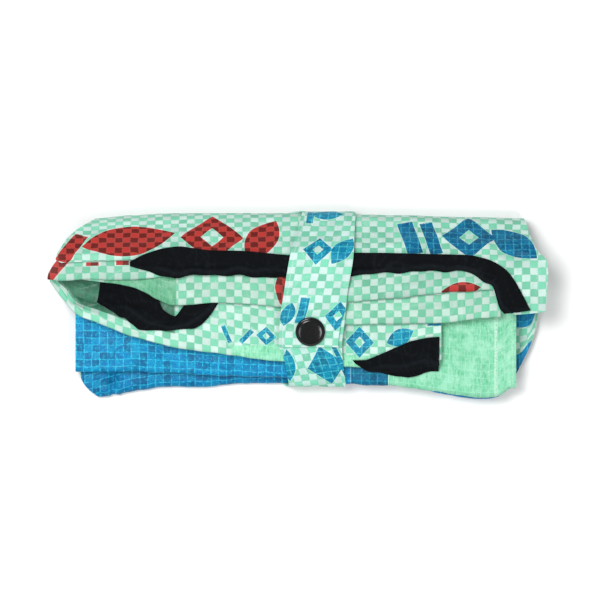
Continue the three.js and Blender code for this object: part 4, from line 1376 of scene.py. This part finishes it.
def area_light(name, place, size, power):
    """A soft square light aimed at the bag."""
    data = bpy.data.lights.new(name, "AREA")
    data.shape, data.size, data.energy = "SQUARE", size, power
    light = bpy.data.objects.new(name, data)
    light.location = place
    aim = Vector(LIGHT_AIM) - Vector(place)
    light.rotation_euler = aim.to_track_quat("-Z", "Y").to_euler()
    bpy.context.scene.collection.objects.link(light)


def make_stage(look):
    """A plain pale floor, soft light mostly from the upper left, and the camera straight above."""
    scene = bpy.context.scene
    scene.view_settings.view_transform = "Standard"
    mesh = bpy.data.meshes.new("studio_floor")
    corners = [(x * FLOOR_HALF, y * FLOOR_HALF, 0) for x, y in ((-1, -1), (1, -1), (1, 1), (-1, 1))]
    mesh.from_pydata(corners, [], [(0, 1, 2, 3)])
    mesh.materials.append(matt_paper("matt_paper"))
    floor = bpy.data.objects.new("studio_floor", mesh)
    scene.collection.objects.link(floor)
    world = bpy.data.worlds.new("studio")
    scene.world = world
    world.use_nodes = True
    background = world.node_tree.nodes["Background"].inputs
    background["Color"].default_value = (1, 1, 1, 1)
    background["Strength"].default_value = look.fill_light
    for name, (place, size, share) in LIGHTS.items():
        area_light(name, place, size, look.key_light * share)
    camera = bpy.data.objects.new("camera", bpy.data.cameras.new("camera"))
    scene.collection.objects.link(camera)
    scene.camera = camera
    height = look.camera_height
    camera.data.sensor_width = SENSOR_MM
    camera.data.lens = SENSOR_MM * (height - FOCUS_HEIGHT) / (VIEW_PIXELS * PIXEL_MM * MM)
    half = VIEW_PIXELS // 2
    middle = np.array([half - VIEW_MIDDLE[0], VIEW_MIDDLE[1] - half, 0]) * PIXEL_MM + SHIFT
    camera.location = (middle[0] * MM, middle[1] * MM, height)
    camera.rotation_euler = (0, 0, 0)  # straight down
    camera.data.clip_end = 20


class SackBagLook(bpy.types.PropertyGroup):
    """Sizes, colours and lights of the folded sack bag."""

    warp_width: bpy.props.FloatProperty(
        name="Warp Width",
        description="Width of a tape that runs up the cloth",
        default=0.00556, min=0.001, unit="LENGTH",
    )
    weft_width: bpy.props.FloatProperty(
        name="Weft Width",
        description="Width of a tape that runs across it",
        default=0.00505, min=0.001, unit="LENGTH",
    )
    cloth_thickness: bpy.props.FloatProperty(
        name="Cloth Thickness",
        description="Thickness of the sack cloth",
        default=0.0009, unit="LENGTH",
    )
    handle_thickness: bpy.props.FloatProperty(
        name="Handle Thickness",
        description="Thickness of the handle tape",
        default=0.0016, unit="LENGTH",
    )
    crumple_size: bpy.props.FloatProperty(
        name="Crumple Size",
        description="Usual size of the cloth's facets",
        default=0.02, unit="LENGTH",
    )
    mesh_step: bpy.props.FloatProperty(
        name="Mesh Step",
        description="Distance between rows of a sheet",
        default=0.0015, unit="LENGTH",
    )
    mint: bpy.props.FloatVectorProperty(
        name="Mint",
        description="Colour of the mint tapes",
        default=linear("#76c7a6")[:3], subtype="COLOR",
    )
    white: bpy.props.FloatVectorProperty(
        name="White",
        description="Colour of the white tapes",
        default=linear("#c2dad2")[:3], subtype="COLOR",
    )
    blue: bpy.props.FloatVectorProperty(
        name="Blue",
        description="Colour of the blue print",
        default=linear("#0077b0")[:3], subtype="COLOR",
    )
    red: bpy.props.FloatVectorProperty(
        name="Red",
        description="Colour of the red print",
        default=linear("#a9302d")[:3], subtype="COLOR",
    )
    tape: bpy.props.FloatVectorProperty(
        name="Handle Tape",
        description="Colour of the handle tape",
        default=linear("#0a0d10")[:3], subtype="COLOR",
    )
    key_light: bpy.props.FloatProperty(
        name="Key Light",
        description="Power of the main light",
        default=27.5, unit="POWER",
    )
    fill_light: bpy.props.FloatProperty(
        name="Fill Light",
        description="Strength of the light from all round",
        default=0.45,
    )
    camera_height: bpy.props.FloatProperty(
        name="Camera Height",
        description="Height of the camera over the surface",
        default=3.0, unit="LENGTH",
    )


# Each panel: its section, finish, stations from end to end, seed, and flat size in metres.
PANELS = {
    "back_panel": (back_panel_section, "sack_check", 240, 3, (0.325, 0.281)),
    "base_panel": (base_panel_section, "sack_blue", 220, 11, (0.307, 0.212)),
    "front_panel": (front_panel_section, "sack_check", 240, 19, (0.305, 0.303)),
}
# Each handle tape: the rows along it, flat size in metres, and seed.
TAPES = {
    "handle_top": (200, (0.0175, 0.288), 5),
    "handle_mouth_left": (90, (0.0195, 0.1), 8),
    "handle_mouth_right": (70, (0.021, 0.062), 9),
}


class SackBagPanels(bpy.types.Operator):
    """Make the three cloth panels of the bag"""

    bl_idname = "sack_bag.panels"
    bl_label = "Cloth Panels"

    def execute(self, context):
        look = context.scene.sack_bag_look
        for name, (section, *rest) in PANELS.items():
            make_panel(name, section(), *rest, look)
        return {"FINISHED"}


class SackBagHandles(bpy.types.Operator):
    """Make the black handle tapes"""

    bl_idname = "sack_bag.handles"
    bl_label = "Handles"

    def execute(self, context):
        look = context.scene.sack_bag_look
        for name, (steps, flat, seed) in TAPES.items():
            make_handle(name, steps, seed, look)
        return {"FINISHED"}


class SackBagStrap(bpy.types.Operator):
    """Make the closure strap"""

    bl_idname = "sack_bag.strap"
    bl_label = "Closure Strap"

    def execute(self, context):
        make_strap(context.scene.sack_bag_look)
        return {"FINISHED"}


class SackBagSnap(bpy.types.Operator):
    """Make the cap of the snap"""

    bl_idname = "sack_bag.snap"
    bl_label = "Snap Cap"

    def execute(self, context):
        make_snap(context.scene.sack_bag_look)
        return {"FINISHED"}


class SackBagStage(bpy.types.Operator):
    """Make the floor, the lights and the camera"""

    bl_idname = "sack_bag.stage"
    bl_label = "Stage"

    def execute(self, context):
        make_stage(context.scene.sack_bag_look)
        return {"FINISHED"}


class SackBagSidebar(bpy.types.Panel):
    """The bag's sizes and steps, in the 3D view's sidebar"""

    bl_idname = "VIEW3D_PT_sack_bag"
    bl_label = "Sack Bag"
    bl_space_type = "VIEW_3D"
    bl_region_type = "UI"
    bl_category = "Sack Bag"

    def draw(self, context):
        look = context.scene.sack_bag_look
        for name in SackBagLook.__annotations__:
            self.layout.prop(look, name)
        for step in STEPS:
            self.layout.operator(step.bl_idname)


STEPS = (SackBagPanels, SackBagHandles, SackBagStrap, SackBagSnap, SackBagStage)


def register():
    """Registers the classes and puts the settings on the scene."""
    for made in (SackBagLook, *STEPS, SackBagSidebar):
        bpy.utils.register_class(made)
    bpy.types.Scene.sack_bag_look = bpy.props.PointerProperty(type=SackBagLook)


def unregister():
    """Takes the settings and the classes away again."""
    del bpy.types.Scene.sack_bag_look
    for made in (SackBagSidebar, *reversed(STEPS), SackBagLook):
        bpy.utils.unregister_class(made)


def main():
    """Makes the bag step by step."""
    register()
    bpy.ops.sack_bag.panels()
    bpy.ops.sack_bag.handles()
    bpy.ops.sack_bag.strap()
    bpy.ops.sack_bag.snap()
    bpy.ops.sack_bag.stage()
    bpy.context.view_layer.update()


if __name__ == "__main__":
    main()
